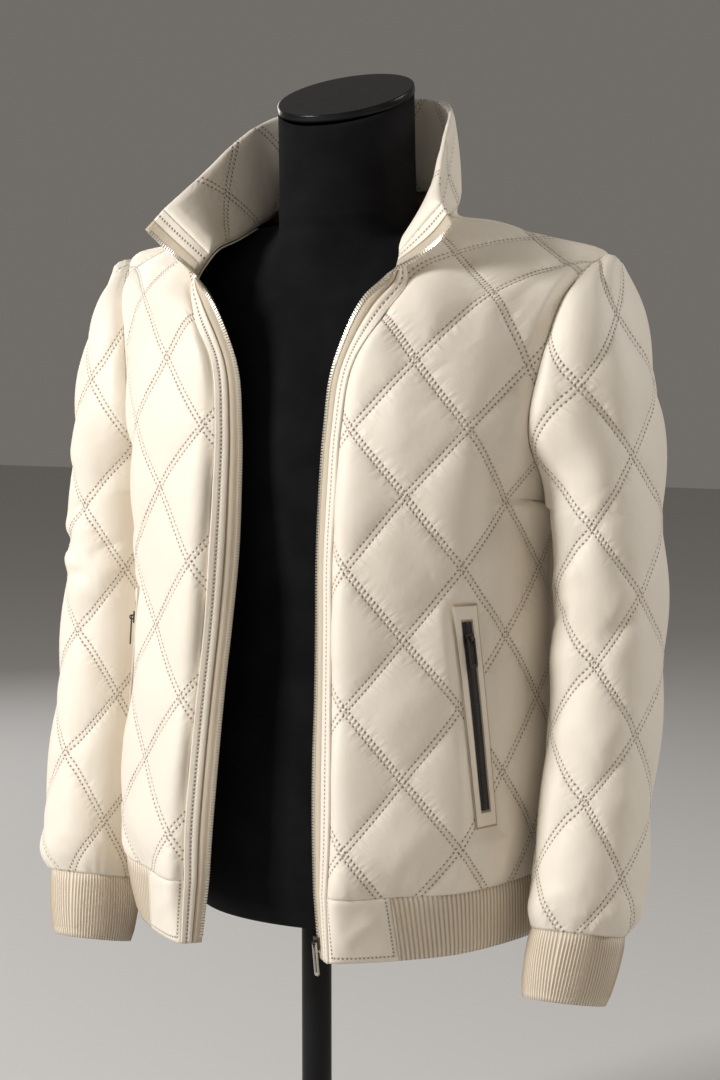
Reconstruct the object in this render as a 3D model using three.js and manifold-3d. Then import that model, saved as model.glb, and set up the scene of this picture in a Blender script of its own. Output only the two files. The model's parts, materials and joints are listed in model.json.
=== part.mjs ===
// A quilted zip jacket, worn open on a limbless dress form with a pole and a base plate.
// Millimetres, +Z up. The front faces -Y and +X is the wearer's left.
import * as THREE from "three";
import { mergeVertices } from "three/addons/utils/BufferGeometryUtils.js";
import Module from "manifold-3d";

const V = (x, y, z) => new THREE.Vector3(x, y, z);
const at = (p) => V(p[0], p[1], p[2]);
const rad = THREE.MathUtils.degToRad;

// Driving sizes

const SEAM_GAP = 0.3; // between two sewn pieces
const CLOTH = 1.3; // wall at a seam or a quilting line
const PUFF = 5; // height of a quilt diamond above its lines
const DIAMOND_HALF_WIDTH = 48;
const DIAMOND_STEPS = 4; // rows in half a diamond's height
const ROW = 14.25; // height of one row
const STEP = DIAMOND_HALF_WIDTH / DIAMOND_STEPS;
const FIRST_CROSSING = 38; // height of the lowest crossing above the hem seam
const ROWS_BELOW_CROSSING = 2;
const UNDERARM_ROW = 20;
const ARMHOLE_ROWS = 21;
const NECK_CORNER_ROW = 15; // armhole rows up to the front neck corner
const UNDERARM_HEIGHT = FIRST_CROSSING + UNDERARM_ROW * ROW;
const FRONT_HEIGHT = UNDERARM_HEIGHT + ARMHOLE_ROWS * ROW;
const BACK_HEIGHT = 606;
const NECK_AXIS_Y = 62; // the neck stands this far behind the pole
const RIB_PITCH = 5.2;
const RIB_HEIGHT = 0.9;
const RIB_WALL = 1.4;
const PUFF_POWER = 0.6; // under 1 makes a diamond's crown broad
const EDGE_MARGIN = 7; // from a panel's edge to its first quilt node, in millimetres or degrees
const EDGE_PUFF = 0.35; // share of the puff at a panel's edge
const EDGE_REACH = 30; // the puff rises by its whole height over this distance
const CURVE_STEPS = 16; // points on a curve from one place to the next
const MITRE_LIMIT = 0.5;

// Tables. Each row is one height, with places in the wearer's left half

// height: flat distance above the hem seam. zip: tooth edge. edge: panel edge. fold, chest and corner: places
// on the panel. side: side seam, and above the underarm the armhole seam.
const FRONT = [
  {
    height: 0, zip: [50, -163, 358], edge: [67, -175, 358], fold: [77, -181, 358],
    chest: [119, -149, 358], corner: [161, -112, 358], side: [185, 10, 358],
  },
  {
    height: 37, zip: [48, -161, 395], edge: [68, -172, 395], fold: [80, -175, 395],
    chest: [123, -151, 395], corner: [164, -113, 395], side: [188, 10, 395],
  },
  {
    height: 99, zip: [45, -155, 457], edge: [66, -165, 457], fold: [77, -168, 457],
    chest: [121, -145, 457], corner: [161, -109, 457], side: [188, 10, 457],
  },
  {
    height: 157, zip: [43, -147, 515], edge: [63, -158, 515], fold: [74, -161, 515],
    chest: [119, -139, 515], corner: [157, -106, 515], side: [188, 10, 515],
  },
  {
    height: 214, zip: [40, -139, 571], edge: [60, -151, 571], fold: [71, -156, 571],
    chest: [116, -133, 571], corner: [154, -103, 571], side: [187, 10, 571],
  },
  {
    height: 273, zip: [37, -132, 631], edge: [58, -146, 631], fold: [70, -152, 631],
    chest: [115, -130, 631], corner: [155, -100, 631], side: [186, 10, 625],
  },
  {
    height: 323, zip: [37, -127, 683], edge: [58, -139, 683], fold: [70, -144, 683],
    chest: [115, -128, 683], corner: [158, -98, 681], side: [187, 12, 669],
  },
  {
    height: 380, zip: [39, -122, 737], edge: [59, -132, 737], fold: [71, -135, 737],
    chest: [115, -121, 737], corner: [158, -95, 737], side: [190, -49, 729],
  },
  {
    height: 435, zip: [46, -118, 790], edge: [66, -124, 789], fold: [79, -125, 789],
    chest: [116, -112, 791], corner: [158, -88, 791], side: [198, -47, 785],
  },
  {
    height: 489, zip: [73, -115, 846], edge: [89, -111, 831], fold: [98, -109, 836],
    chest: [124, -97, 842], corner: [159, -76, 844], side: [211, -28, 843],
  },
  {
    height: 512, zip: [86, -111, 858], edge: [100, -95, 855], fold: [109, -92, 856],
    chest: [127, -85, 858], corner: [162, -64, 857], side: [216, -16, 856],
  },
  {
    height: 536.75, zip: [97, -105, 867], edge: [90, -85, 880], fold: [99, -80, 878],
    chest: [128, -70, 873], corner: [166, -49, 869], side: [220, -5, 866],
  },
  {
    height: 582, zip: [97, -105, 867], edge: [88, -35, 898], fold: [95, -34, 896],
    chest: [126, -27, 894], corner: [170, -14, 885], side: [228, 10, 875],
  },
  {
    height: 622.25, zip: [97, -105, 867], edge: [88, 16, 914], fold: [95, 15, 912],
    chest: [126, 12, 906], corner: [174, 14, 897], side: [232, 21, 880.5],
  },
];

// height as above. arm: armhole seam. blade and mid: places on the back. spine: centre back.
const BACK = [
  { height: 0, arm: [185, 10, 358], blade: [147, 56, 358], mid: [82, 80, 358], spine: [0, 84, 358] },
  { height: 37, arm: [188, 10, 395], blade: [150, 64, 395], mid: [82, 88, 395], spine: [0, 91, 395] },
  { height: 99, arm: [188, 10, 457], blade: [152, 66, 457], mid: [82, 88, 457], spine: [0, 91, 457] },
  { height: 157, arm: [188, 10, 515], blade: [152, 66, 515], mid: [82, 88, 515], spine: [0, 90, 515] },
  { height: 214, arm: [187, 10, 571], blade: [152, 67, 571], mid: [82, 90, 571], spine: [0, 92, 571] },
  { height: 273, arm: [186, 10, 625], blade: [152, 73, 630], mid: [82, 95, 631], spine: [0, 97, 631] },
  { height: 323, arm: [187, 12, 669], blade: [152, 85, 680], mid: [82, 103, 683], spine: [0, 104, 683] },
  { height: 380, arm: [201, 70, 731], blade: [150, 98, 735], mid: [82, 111, 737], spine: [0, 111, 737] },
  { height: 435, arm: [206, 75, 785], blade: [154, 103, 789], mid: [82, 115, 790], spine: [0, 116, 790] },
  { height: 489, arm: [215, 65, 839], blade: [154, 98, 841], mid: [82, 111, 843], spine: [0, 114, 843] },
  { height: 530, arm: [223, 50, 863], blade: [158, 84, 873], mid: [83, 100, 883], spine: [0, 106, 882] },
  { height: 568, arm: [229, 35, 875], blade: [167, 54, 890], mid: [98, 72, 905], spine: [0, 97, 912] },
  { height: 606, arm: [232, 21, 880.5], blade: [170, 14, 898], mid: [88, 16, 914], spine: [0, 85, 940] },
];

// share: from the side neck point to the centre back. seam: neckline. top: collar's upper edge.
const COLLAR_BACK = [
  { share: 0, seam: [88, 16, 914], top: [96, 0, 992] },
  { share: 0.3, seam: [86, 44, 925], top: [84, 32, 1006] },
  { share: 0.5, seam: [73, 65, 933], top: [68, 57, 1014] },
  { share: 0.75, seam: [40, 81, 938], top: [38, 81, 1020] },
  { share: 1, seam: [0, 85, 940], top: [0, 89, 1022] },
];

// share: from the front neck corner to the side neck point. top: collar's upper edge.
const COLLAR_FRONT = [
  { share: 0, top: [131, -92, 919] },
  { share: 0.25, top: [122, -76, 934] },
  { share: 0.5, top: [112, -50, 955] },
  { share: 0.75, top: [104, -25, 975] },
  { share: 1, top: [96, 0, 992] },
];

// share: along the collar's front end, from the neck corner to the tip. zip: tooth edge there.
const COLLAR_ZIP = [
  { share: 0, zip: [97, -105, 867] },
  { share: 0.35, zip: [113, -98, 876] },
  { share: 0.7, zip: [130, -96, 888] },
  { share: 1, zip: [144, -101, 902] },
];

// order: from the zip round to the centre back, at the band's lower edge
const BAND_BOTTOM = [
  [56, -165, 304], [70, -176, 304], [79, -173, 304], [117, -144, 304], [157, -97, 304], [183, 10, 304],
  [146, 55, 304], [80, 76, 304], [0, 80, 304],
];

// height: level of the ring's centre. x, y: centre. half_x, half_y: half sizes.
// lean: degrees that the ring tips forwards.
const SLEEVE = [
  { height: 318, x: 236, y: -46, half_x: 37, half_y: 40, lean: 14 },
  { height: 330, x: 238, y: -43, half_x: 42, half_y: 47, lean: 14 },
  { height: 360, x: 240, y: -36, half_x: 43, half_y: 50, lean: 13 },
  { height: 420, x: 241, y: -21, half_x: 42.5, half_y: 51, lean: 11 },
  { height: 480, x: 241.5, y: -7, half_x: 42.5, half_y: 52, lean: 7 },
  { height: 540, x: 241, y: 5, half_x: 42.5, half_y: 55, lean: 4 },
  { height: 600, x: 239.5, y: 12, half_x: 41.5, half_y: 59, lean: 2 },
  { height: 669, x: 236, y: 16, half_x: 40, half_y: 62, lean: 0 },
  { height: 720, x: 232, y: 18, half_x: 41, half_y: 64, lean: 0 },
  { height: 780, x: 227, y: 19, half_x: 39, half_y: 62, lean: 0 },
  { height: 840, x: 224, y: 21, half_x: 27, half_y: 47, lean: 0 },
  { height: 868, x: 224, y: 23, half_x: 18, half_y: 27, lean: 0 },
];
const SLEEVE_FIRST_CROSSING = 366;
const SLEEVE_ROW = 14.5;
const SLEEVE_TOP_ROW = 34;
const SLEEVE_COLUMN = 13; // degrees round the sleeve for a quarter of a diamond's half width
const SLEEVE_CROSSING_AT = -29; // degrees from +X of one line of crossings
const SLEEVE_SQUARE = 0.85; // under 1 squares the ring's corners
const SLEEVE_SPAN = 16; // columns on each side of the line of crossings
const SLEEVE_HEM_NUMBER = -3; // the hem seam's row, counted from the first crossing
const SLEEVE_INNER_FLAT = 0.65; // share of the puff lost on the side that lies on the body
const SLEEVE_SEAM_PUFF = 0.1; // share of the puff on the underarm seam
const SLEEVE_DEGREE = 0.9; // millimetres round the sleeve for a degree
const CAP_EASE = 75; // degrees over which the cap eases from the armhole to the sleeve's ring
const UNDERARM_REACH = 4; // a row this near to the underarm takes it as its seam node
const ARMHOLE_REACH = 3; // an armhole node this far under a row still joins it

const CUFF = { bottom: V(230, -62, 263), bottom_half: 34, depth: 1.04, lean: 14 };

// z: level. half_x, half_y: half sizes. y: centre behind the neck axis. ridge_x, ridge_y: half sizes of the
// shoulder ridge that carries the jacket.
const TORSO = [
  { z: 310, half_x: 128, half_y: 84, y: -24 },
  { z: 322, half_x: 137, half_y: 92, y: -24 },
  { z: 380, half_x: 141, half_y: 95, y: -24 },
  { z: 460, half_x: 138, half_y: 92, y: -22 },
  { z: 560, half_x: 130, half_y: 85, y: -18 },
  { z: 640, half_x: 138, half_y: 92, y: -14 },
  { z: 710, half_x: 147, half_y: 97, y: -9 },
  { z: 770, half_x: 150, half_y: 94, y: -3 },
  { z: 820, half_x: 148, half_y: 84, y: 4 },
  { z: 855, half_x: 142, half_y: 66, y: 8, ridge_x: 142, ridge_y: 56 },
  { z: 880, half_x: 92, half_y: 62, y: 8, ridge_x: 136, ridge_y: 42 },
  { z: 895, half_x: 66, half_y: 62, y: 6, ridge_x: 124, ridge_y: 26 },
  { z: 904.4, half_x: 63, half_y: 61, y: 5, ridge_x: 104, ridge_y: 12 },
  { z: 913.3, half_x: 61, half_y: 60, y: 1 },
  { z: 935, half_x: 60, half_y: 59, y: 0 },
];
const TORSO_SIDES = 40;
const CAP = { radius: 60, thickness: 7, middle: V(-1.5, 0, 1016), tilt: 22 };
const POLE_RADIUS = 13;
const BASE_RADIUS = 150;
const BASE_THICKNESS = 12;
const ROUND_SIDES = { cap: 48, pole: 32, base: 64 };

// flat places on the front panel: distance from the line of crossings, height above the hem seam
const POCKET = {
  top: [99, 240],
  bottom: [125, 54],
  half_width: 12,
  half_zip: 5,
  first_row: 1,
  last_row: 14,
  flat_to: 1.1, // half widths from its middle over which the panel is flat
  rise_over: 0.9, // half widths over which the puff comes back
  end_rise: 10, // how fast it comes back past the ends
};

// Materials

const leather = () => new THREE.MeshStandardMaterial({ color: 0xece1cd, roughness: 0.55, metalness: 0 });
const ribKnit = () => new THREE.MeshStandardMaterial({ color: 0xe2d3b8, roughness: 0.9, metalness: 0 });
const brownLining = () => new THREE.MeshStandardMaterial({ color: 0x6d4536, roughness: 0.7, metalness: 0 });
const zipTape = () => new THREE.MeshStandardMaterial({ color: 0xc9b596, roughness: 0.85, metalness: 0 });
const blackZip = () => new THREE.MeshStandardMaterial({ color: 0x15161a, roughness: 0.6, metalness: 0 });
const blackMetal = () => new THREE.MeshStandardMaterial({ color: 0x1d1d20, roughness: 0.35, metalness: 0.8 });
const steel = () => new THREE.MeshStandardMaterial({ color: 0xb9b4ab, roughness: 0.3, metalness: 1 });
const formCloth = () => new THREE.MeshStandardMaterial({ color: 0x0c0c0e, roughness: 0.9, metalness: 0 });
const blackGloss = () => new THREE.MeshStandardMaterial({ color: 0x070708, roughness: 0.25, metalness: 0 });

// Curves read from the tables

// A smooth function of a table's key column, for one of its columns of places.
function track(table, key, column) {
  const keys = table.map((row) => row[key]);
  const places = table.map((row) => at(row[column]));
  const slope = (a, b) => places[b].clone().sub(places[a]).divideScalar(Math.max(keys[b] - keys[a], 1e-6));
  const tangents = places.map((_, i) => {
    if (i === 0) return slope(0, 1);
    if (i === places.length - 1) return slope(i - 1, i);
    const before = keys[i] - keys[i - 1];
    const after = keys[i + 1] - keys[i];
    const weighted = slope(i - 1, i).multiplyScalar(after).addScaledVector(slope(i, i + 1), before);
    return weighted.divideScalar(before + after);
  });
  return (value) => {
    let i = 0;
    while (i < keys.length - 2 && value > keys[i + 1]) i += 1;
    const span = keys[i + 1] - keys[i];
    const t = THREE.MathUtils.clamp((value - keys[i]) / span, 0, 1);
    const s = 1 - t;
    return V(0, 0, 0)
      .addScaledVector(places[i], s * s * (1 + 2 * t))
      .addScaledVector(tangents[i], span * t * s * s)
      .addScaledVector(places[i + 1], t * t * (3 - 2 * t))
      .addScaledVector(tangents[i + 1], -span * t * t * s);
  };
}

// A smooth function of a table's key column, for a column of numbers.
function gauge(table, key, column) {
  const read = track(table.map((row) => ({ key: row[key], place: [row[column], 0, 0] })), "key", "place");
  return (value) => read(value).x;
}

// A line of close points that gives the place at a distance along it.
class Line {
  constructor(points) {
    this.points = points;
    this.sums = [0];
    for (let i = 1; i < points.length; i += 1) {
      this.sums.push(this.sums[i - 1] + points[i].distanceTo(points[i - 1]));
    }
    this.length = this.sums[this.sums.length - 1];
  }

  at(distance) {
    const wanted = THREE.MathUtils.clamp(distance, 0, this.length);
    let i = 1;
    while (i < this.sums.length - 1 && this.sums[i] < wanted) i += 1;
    const span = Math.max(this.sums[i] - this.sums[i - 1], 1e-9);
    return this.points[i - 1].clone().lerp(this.points[i], (wanted - this.sums[i - 1]) / span);
  }
}

// The part of a smooth curve from one of its places to another, as a Line.
function stretch(places, from, to) {
  const curve = new THREE.CatmullRomCurve3(places, false, "centripetal");
  const segments = places.length - 1;
  const steps = (to - from) * CURVE_STEPS;
  const points = [];
  for (let i = 0; i <= steps; i += 1) {
    const place = from + ((to - from) * i) / steps;
    points.push(curve.getPoint(place / segments));
  }
  return new Line(points);
}

const mirrored = (p) => V(-p.x, p.y, p.z);

// The curves of several columns of a table, by name.
function tracks(table, names) {
  return Object.fromEntries(names.map((name) => [name, track(table, "height", name)]));
}

const front = tracks(FRONT, ["zip", "edge", "fold", "chest", "corner", "side"]);
const back = tracks(BACK, ["arm", "blade", "mid", "spine"]);

// One row of the front panel: a Line from the panel edge to the side, and the flat place of its left end.
function frontRow(height) {
  const { edge, fold, chest: breast, corner, side } = front;
  const places = [edge, fold, breast, corner, side].map((read) => read(height));
  if (height <= UNDERARM_HEIGHT) places.push(back.blade(height), back.mid(height));
  const line = stretch(places, 0, 4);
  const chest = stretch(places, 0, 2).length;
  return { line, left: DIAMOND_HALF_WIDTH - chest, right: DIAMOND_HALF_WIDTH - chest + line.length };
}

// One row of the back panel's left half: a Line from the spine to the side.
function backRow(height) {
  const { spine, mid, blade, arm } = back;
  const places = [mirrored(mid(height)), ...[spine, mid, blade, arm].map((read) => read(height))];
  if (height <= UNDERARM_HEIGHT) places.push(front.corner(height), front.chest(height));
  return stretch(places, 1, 4);
}

// Sheets: a wall of cloth from rows of nodes, bottom to top, each row from left to right as seen from outside

const node = (point, across, lift = 0, wall = CLOTH) => ({ point, across, lift, wall });
const mix = (a, b, share) => a.clone().lerp(b, share);

// The puff of a quilt diamond: 0 on the lines, 1 in the middle. Both values count half diamonds.
function puff(across, up) {
  const ridge = (value) => Math.abs(Math.sin((Math.PI * value) / 2));
  return (ridge(up + across) * ridge(up - across)) ** PUFF_POWER;
}

// The triangles between two rows. The lists hold nodes on the left and right ends between the two rows.
function joinRows(low, high, leftNodes, rightNodes, emit) {
  const left = [low[0], ...leftNodes, high[0]];
  const right = [low[low.length - 1], ...rightNodes, high[high.length - 1]];
  const single = high.length === 1;
  for (let i = 0; i + 1 < left.length; i += 1) emit(left[i], low[1], left[i + 1]);
  const rightPivot = single ? low[low.length - 2] : high[high.length - 2];
  for (let i = 0; i + 1 < right.length; i += 1) emit(right[i], right[i + 1], rightPivot);
  const lowEnd = single ? low.length - 2 : low.length - 1;
  const highEnd = single ? 0 : high.length - 2;
  let i = 1;
  let j = 0;
  const place = (row, k) => (k === row.length - 1 && row[k] === row[0] ? Infinity : row[k].across);
  while (i < lowEnd || j < highEnd) {
    const stepLow = j >= highEnd || (i < lowEnd && place(low, i + 1) <= place(high, j + 1));
    if (stepLow) {
      emit(low[i], low[i + 1], high[j]);
      i += 1;
    } else {
      emit(low[i], high[j + 1], high[j]);
      j += 1;
    }
  }
}

class Sheet {
  // rows: lists of nodes. A row's leftBelow and rightBelow hold end nodes between it and the row under it.
  constructor(rows) {
    this.rows = rows;
    this.triangles = this.join(rows.map((_, i) => i));
  }

  // The triangles between the rows with these indices.
  join(indices) {
    const triangles = [];
    const emit = (a, b, c) => {
      if (a !== b && b !== c && c !== a) triangles.push([a, b, c]);
    };
    for (let k = 0; k + 1 < indices.length; k += 1) {
      const ends = { left: [], right: [] };
      for (let r = indices[k] + 1; r <= indices[k + 1]; r += 1) {
        const row = this.rows[r];
        ends.left.push(...(row.leftBelow ?? []));
        ends.right.push(...(row.rightBelow ?? []));
        const closed = row[0] === row[row.length - 1] && row.length > 1;
        if (r < indices[k + 1] && !closed) {
          ends.left.push(row[0]);
          ends.right.push(row[row.length - 1]);
        }
      }
      joinRows(this.rows[indices[k]], this.rows[indices[k + 1]], ends.left, ends.right, emit);
    }
    return triangles;
  }

  // The plain inner face has fewer rows: those that the caller keeps, with the first and the last.
  innerTriangles() {
    const kept = this.rows.map((_, i) => i).filter((i) => this.rows[i].keep ?? true);
    return this.join(kept);
  }

  // Each node on the sheet's edge with the next one round the edge.
  boundary() {
    const next = new Map();
    const has = new Map();
    for (const [a, b, c] of this.triangles) {
      for (const [from, to] of [[a, b], [b, c], [c, a]]) {
        if (!has.has(from)) has.set(from, new Set());
        has.get(from).add(to);
      }
    }
    for (const [from, tos] of has) {
      for (const to of tos) {
        if (!has.get(to)?.has(from)) next.set(from, to);
      }
    }
    return next;
  }
}

// Normals are shared where sheets meet, so that the walls of two sewn pieces stay side by side.
const normals = new Map();
const placeKey = (p) => `${Math.round(p.x * 50)},${Math.round(p.y * 50)},${Math.round(p.z * 50)}`;

function addNormals(sheet, both) {
  for (const [a, b, c] of sheet.triangles) {
    const face = b.point.clone().sub(a.point).cross(c.point.clone().sub(a.point));
    for (const { point } of [a, b, c]) {
      for (const side of both ? [1, -1] : [1]) {
        const key = placeKey(V(point.x * side, point.y, point.z));
        if (!normals.has(key)) normals.set(key, V(0, 0, 0));
        normals.get(key).add(V(face.x * side, face.y, face.z));
      }
    }
  }
}

function normalAt(item) {
  if (item.normal) return item.normal.clone();
  const normal = normals.get(placeKey(item.point)).clone();
  if (item.level) normal.addScaledVector(item.level, -normal.dot(item.level));
  return normal.normalize();
}

// A geometry with flat faces. mirror turns each face round.
function facesGeometry(positions, faces, mirror) {
  const geometry = new THREE.BufferGeometry();
  geometry.setAttribute("position", new THREE.Float32BufferAttribute(positions, 3));
  geometry.setIndex(faces.flatMap(([a, b, c]) => (mirror ? [a, c, b] : [a, b, c])));
  const flat = geometry.toNonIndexed();
  flat.computeVertexNormals();
  return flat;
}

// The closed wall of a sheet as a geometry. inset pulls its edges back from the seams. shift moves it along
// its normals, so that a piece lies on another.
function wallGeometry(sheet, { mirror = false, inset = SEAM_GAP / 2, shift = 0 } = {}) {
  const next = sheet.boundary();
  const before = new Map([...next].map(([from, to]) => [to, from]));
  const ids = new Map();
  const positions = [];
  const idOf = (item) => {
    if (ids.has(item)) return ids.get(item);
    const normal = normalAt(item);
    const base = item.point.clone();
    if (next.has(item)) {
      const ahead = normal.clone().cross(next.get(item).point.clone().sub(item.point)).normalize();
      const behind = normal.clone().cross(item.point.clone().sub(before.get(item).point)).normalize();
      const mitre = Math.max(MITRE_LIMIT, 1 + ahead.dot(behind));
      base.addScaledVector(ahead.clone().add(behind), (item.inset ?? inset) / mitre);
    }
    const outer = base.clone().addScaledVector(normal, item.lift + shift);
    const inner = base.clone().addScaledVector(normal, shift - item.wall);
    positions.push(...outer.toArray(), ...inner.toArray());
    ids.set(item, positions.length / 6 - 1);
    return ids.get(item);
  };
  const faces = [];
  for (const [a, b, c] of sheet.triangles) {
    faces.push([2 * idOf(a), 2 * idOf(b), 2 * idOf(c)]);
  }
  for (const [a, b, c] of sheet.innerTriangles()) {
    faces.push([2 * idOf(a) + 1, 2 * idOf(c) + 1, 2 * idOf(b) + 1]);
  }
  for (const [from, to] of next) {
    const a = 2 * idOf(from);
    const b = 2 * idOf(to);
    faces.push([b, a, a + 1], [b, a + 1, b + 1]);
  }
  if (mirror) {
    for (let i = 0; i < positions.length; i += 3) positions[i] = -positions[i];
  }
  return facesGeometry(positions, faces, mirror);
}

// Quilted panels

const panelHeights = [0];
for (let j = -ROWS_BELOW_CROSSING; j <= UNDERARM_ROW + ARMHOLE_ROWS; j += 1) {
  panelHeights.push(FIRST_CROSSING + j * ROW);
}
const rowNumber = (index) => index - 1 - ROWS_BELOW_CROSSING; // 0 at the lowest crossing
const LAST_ROW = panelHeights.length - 1;
const CORNER_INDEX = 1 + ROWS_BELOW_CROSSING + UNDERARM_ROW + NECK_CORNER_ROW;

function backHeight(index) {
  const above = rowNumber(index) - UNDERARM_ROW;
  if (above <= 0) return panelHeights[index];
  return UNDERARM_HEIGHT + (above * (BACK_HEIGHT - UNDERARM_HEIGHT)) / ARMHOLE_ROWS;
}

// Nodes on seams are made once and shared by place.
const sideNode = (index) => front.side(panelHeights[index]);
const armNode = (index) => (rowNumber(index) <= UNDERARM_ROW ? sideNode(index) : back.arm(backHeight(index)));
const SHOULDER_NODES = 7;
const shoulderLine = frontRow(FRONT_HEIGHT).line;
const shoulderPoint = (i) => shoulderLine.at((shoulderLine.length * i) / (SHOULDER_NODES - 1));
const NECK_BACK_NODES = 8;

// Curves along the neck and the collar.
const neckBack = track(COLLAR_BACK, "share", "seam");
const collarTopBack = track(COLLAR_BACK, "share", "top");
const collarTopFront = track(COLLAR_FRONT, "share", "top");
const collarZip = track(COLLAR_ZIP, "share", "zip");

// The distance of a flat place from the pocket's middle line, in half widths of the welt.
function pocketShare(across, height) {
  const [topX, topY] = POCKET.top;
  const [bottomX, bottomY] = POCKET.bottom;
  const along = (height - bottomY) / (topY - bottomY);
  const off = Math.abs(across - (bottomX + (topX - bottomX) * along)) / POCKET.half_width;
  const beyond = Math.max(0, -along, along - 1) * POCKET.end_rise;
  return Math.max(off, beyond);
}

// The flat places of the welt's four long edges in a row, or none beyond the pocket's ends.
function pocketRow(index) {
  const number = rowNumber(index);
  if (number < POCKET.first_row || number > POCKET.last_row) return [];
  const along = (number - POCKET.first_row) / (POCKET.last_row - POCKET.first_row);
  const middle = THREE.MathUtils.lerp(POCKET.bottom[0], POCKET.top[0], along);
  const { half_width, half_zip } = POCKET;
  return [-half_width, -half_zip, half_zip, half_width].map((off) => middle + off);
}

// The quilt's nodes in a row, at every second step across, from one flat place to another.
function latticeRow(index, from, to, build) {
  const number = rowNumber(index);
  const nodes = [];
  for (let i = Math.ceil(from / STEP); i <= Math.floor(to / STEP); i += 1) {
    const across = i * STEP;
    const inside = across - from > EDGE_MARGIN && to - across > EDGE_MARGIN;
    if (inside && (i + number) % 2 === 0) {
      nodes.push(build(across, puff(i / DIAMOND_STEPS, number / DIAMOND_STEPS)));
    }
  }
  return nodes;
}

const edgeFade = (distance) => Math.min(1, EDGE_PUFF + distance / EDGE_REACH);

// The inner face keeps the hem, one row in four below the underarm and one in so many above it.
function keptInside(index, above) {
  const number = rowNumber(index);
  return index === 0 || number % (number < UNDERARM_ROW ? 4 : above) === 0;
}

function frontSheet() {
  const rows = panelHeights.map((height, index) => {
    const { line, left, right } = frontRow(height);
    if (index === LAST_ROW) {
      return Array.from({ length: SHOULDER_NODES }, (_, i) =>
        node(shoulderPoint(i), left + ((right - left) * i) / (SHOULDER_NODES - 1)),
      );
    }
    const plain = index === 0;
    let inner = latticeRow(plain ? 1 : index, left, right, (across, share) => {
      const fade = edgeFade(Math.min(across - left, right - across));
      const away = (pocketShare(across, height) - POCKET.flat_to) / POCKET.rise_over;
      const flat = THREE.MathUtils.clamp(away, 0, 1);
      return node(line.at(across - left), across, plain ? 0 : PUFF * share * fade * flat);
    });
    const pocketColumns = pocketRow(index);
    if (pocketColumns.length > 0) {
      const middle = (pocketColumns[1] + pocketColumns[2]) / 2;
      inner = inner.filter(({ across }) => Math.abs(across - middle) > POCKET.half_width + EDGE_MARGIN);
      inner.push(...pocketColumns.map((across) => node(line.at(across - left), across)));
      inner.sort((a, b) => a.across - b.across);
    }
    const row = [node(front.edge(height), left), ...inner, node(sideNode(index), right)];
    row.pocket = pocketColumns.map((across) => inner.find((item) => item.across === across));
    row.keep = keptInside(index, 1);
    return row;
  });
  for (const item of rows[0]) item.level = V(0, 0, 1);
  return new Sheet(rows);
}

function backSheet() {
  const rows = panelHeights.map((_, index) => {
    const height = backHeight(index);
    const line = backRow(height);
    if (index === LAST_ROW) {
      const width = backRow(backHeight(index - 1)).length;
      const half = [];
      for (let i = SHOULDER_NODES - 1; i >= 0; i -= 1) half.push(shoulderPoint(i));
      for (let i = 1; i <= NECK_BACK_NODES; i += 1) half.push(neckBack(i / NECK_BACK_NODES));
      const sums = new Line(half).sums;
      const total = sums[sums.length - 1];
      const leftHalf = half.map((p, i) => node(p, -width * (1 - sums[i] / total)));
      const others = leftHalf.slice(0, -1).reverse();
      return [...leftHalf, ...others.map(({ point, across }) => node(mirrored(point), -across))];
    }
    const plain = index === 0;
    const width = line.length;
    const inner = latticeRow(plain ? 1 : index, -width, width, (across, share) => {
      const place = line.at(Math.abs(across));
      const fade = edgeFade(width - Math.abs(across));
      return node(across < 0 ? place : mirrored(place), across, plain ? 0 : PUFF * share * fade);
    });
    const row = [node(armNode(index), -width), ...inner, node(mirrored(armNode(index)), width)];
    row.keep = keptInside(index, 2);
    return row;
  });
  for (const item of rows[0]) item.level = V(0, 0, 1);
  return new Sheet(rows);
}

// Sleeves

const sleeve = Object.fromEntries(
  ["x", "y", "half_x", "half_y", "lean"].map((name) => [name, gauge(SLEEVE, "height", name)]),
);

// A place on the sleeve's ring at a level. angle: degrees from +X, -90 in front.
function sleevePoint(level, angle) {
  const round = (value) => Math.sign(value) * Math.abs(value) ** SLEEVE_SQUARE;
  const x = sleeve.x(level) + sleeve.half_x(level) * round(Math.cos(rad(angle)));
  const dy = sleeve.half_y(level) * round(Math.sin(rad(angle)));
  return V(x, sleeve.y(level) + dy, level - dy * Math.tan(rad(sleeve.lean(level))));
}

// The angle on the ring of its place nearest to a point.
function sleeveAngle(level, point) {
  const y = (point.y - sleeve.y(level)) / sleeve.half_y(level);
  const x = (point.x - sleeve.x(level)) / sleeve.half_x(level);
  return THREE.MathUtils.radToDeg(Math.atan2(y, x));
}

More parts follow.
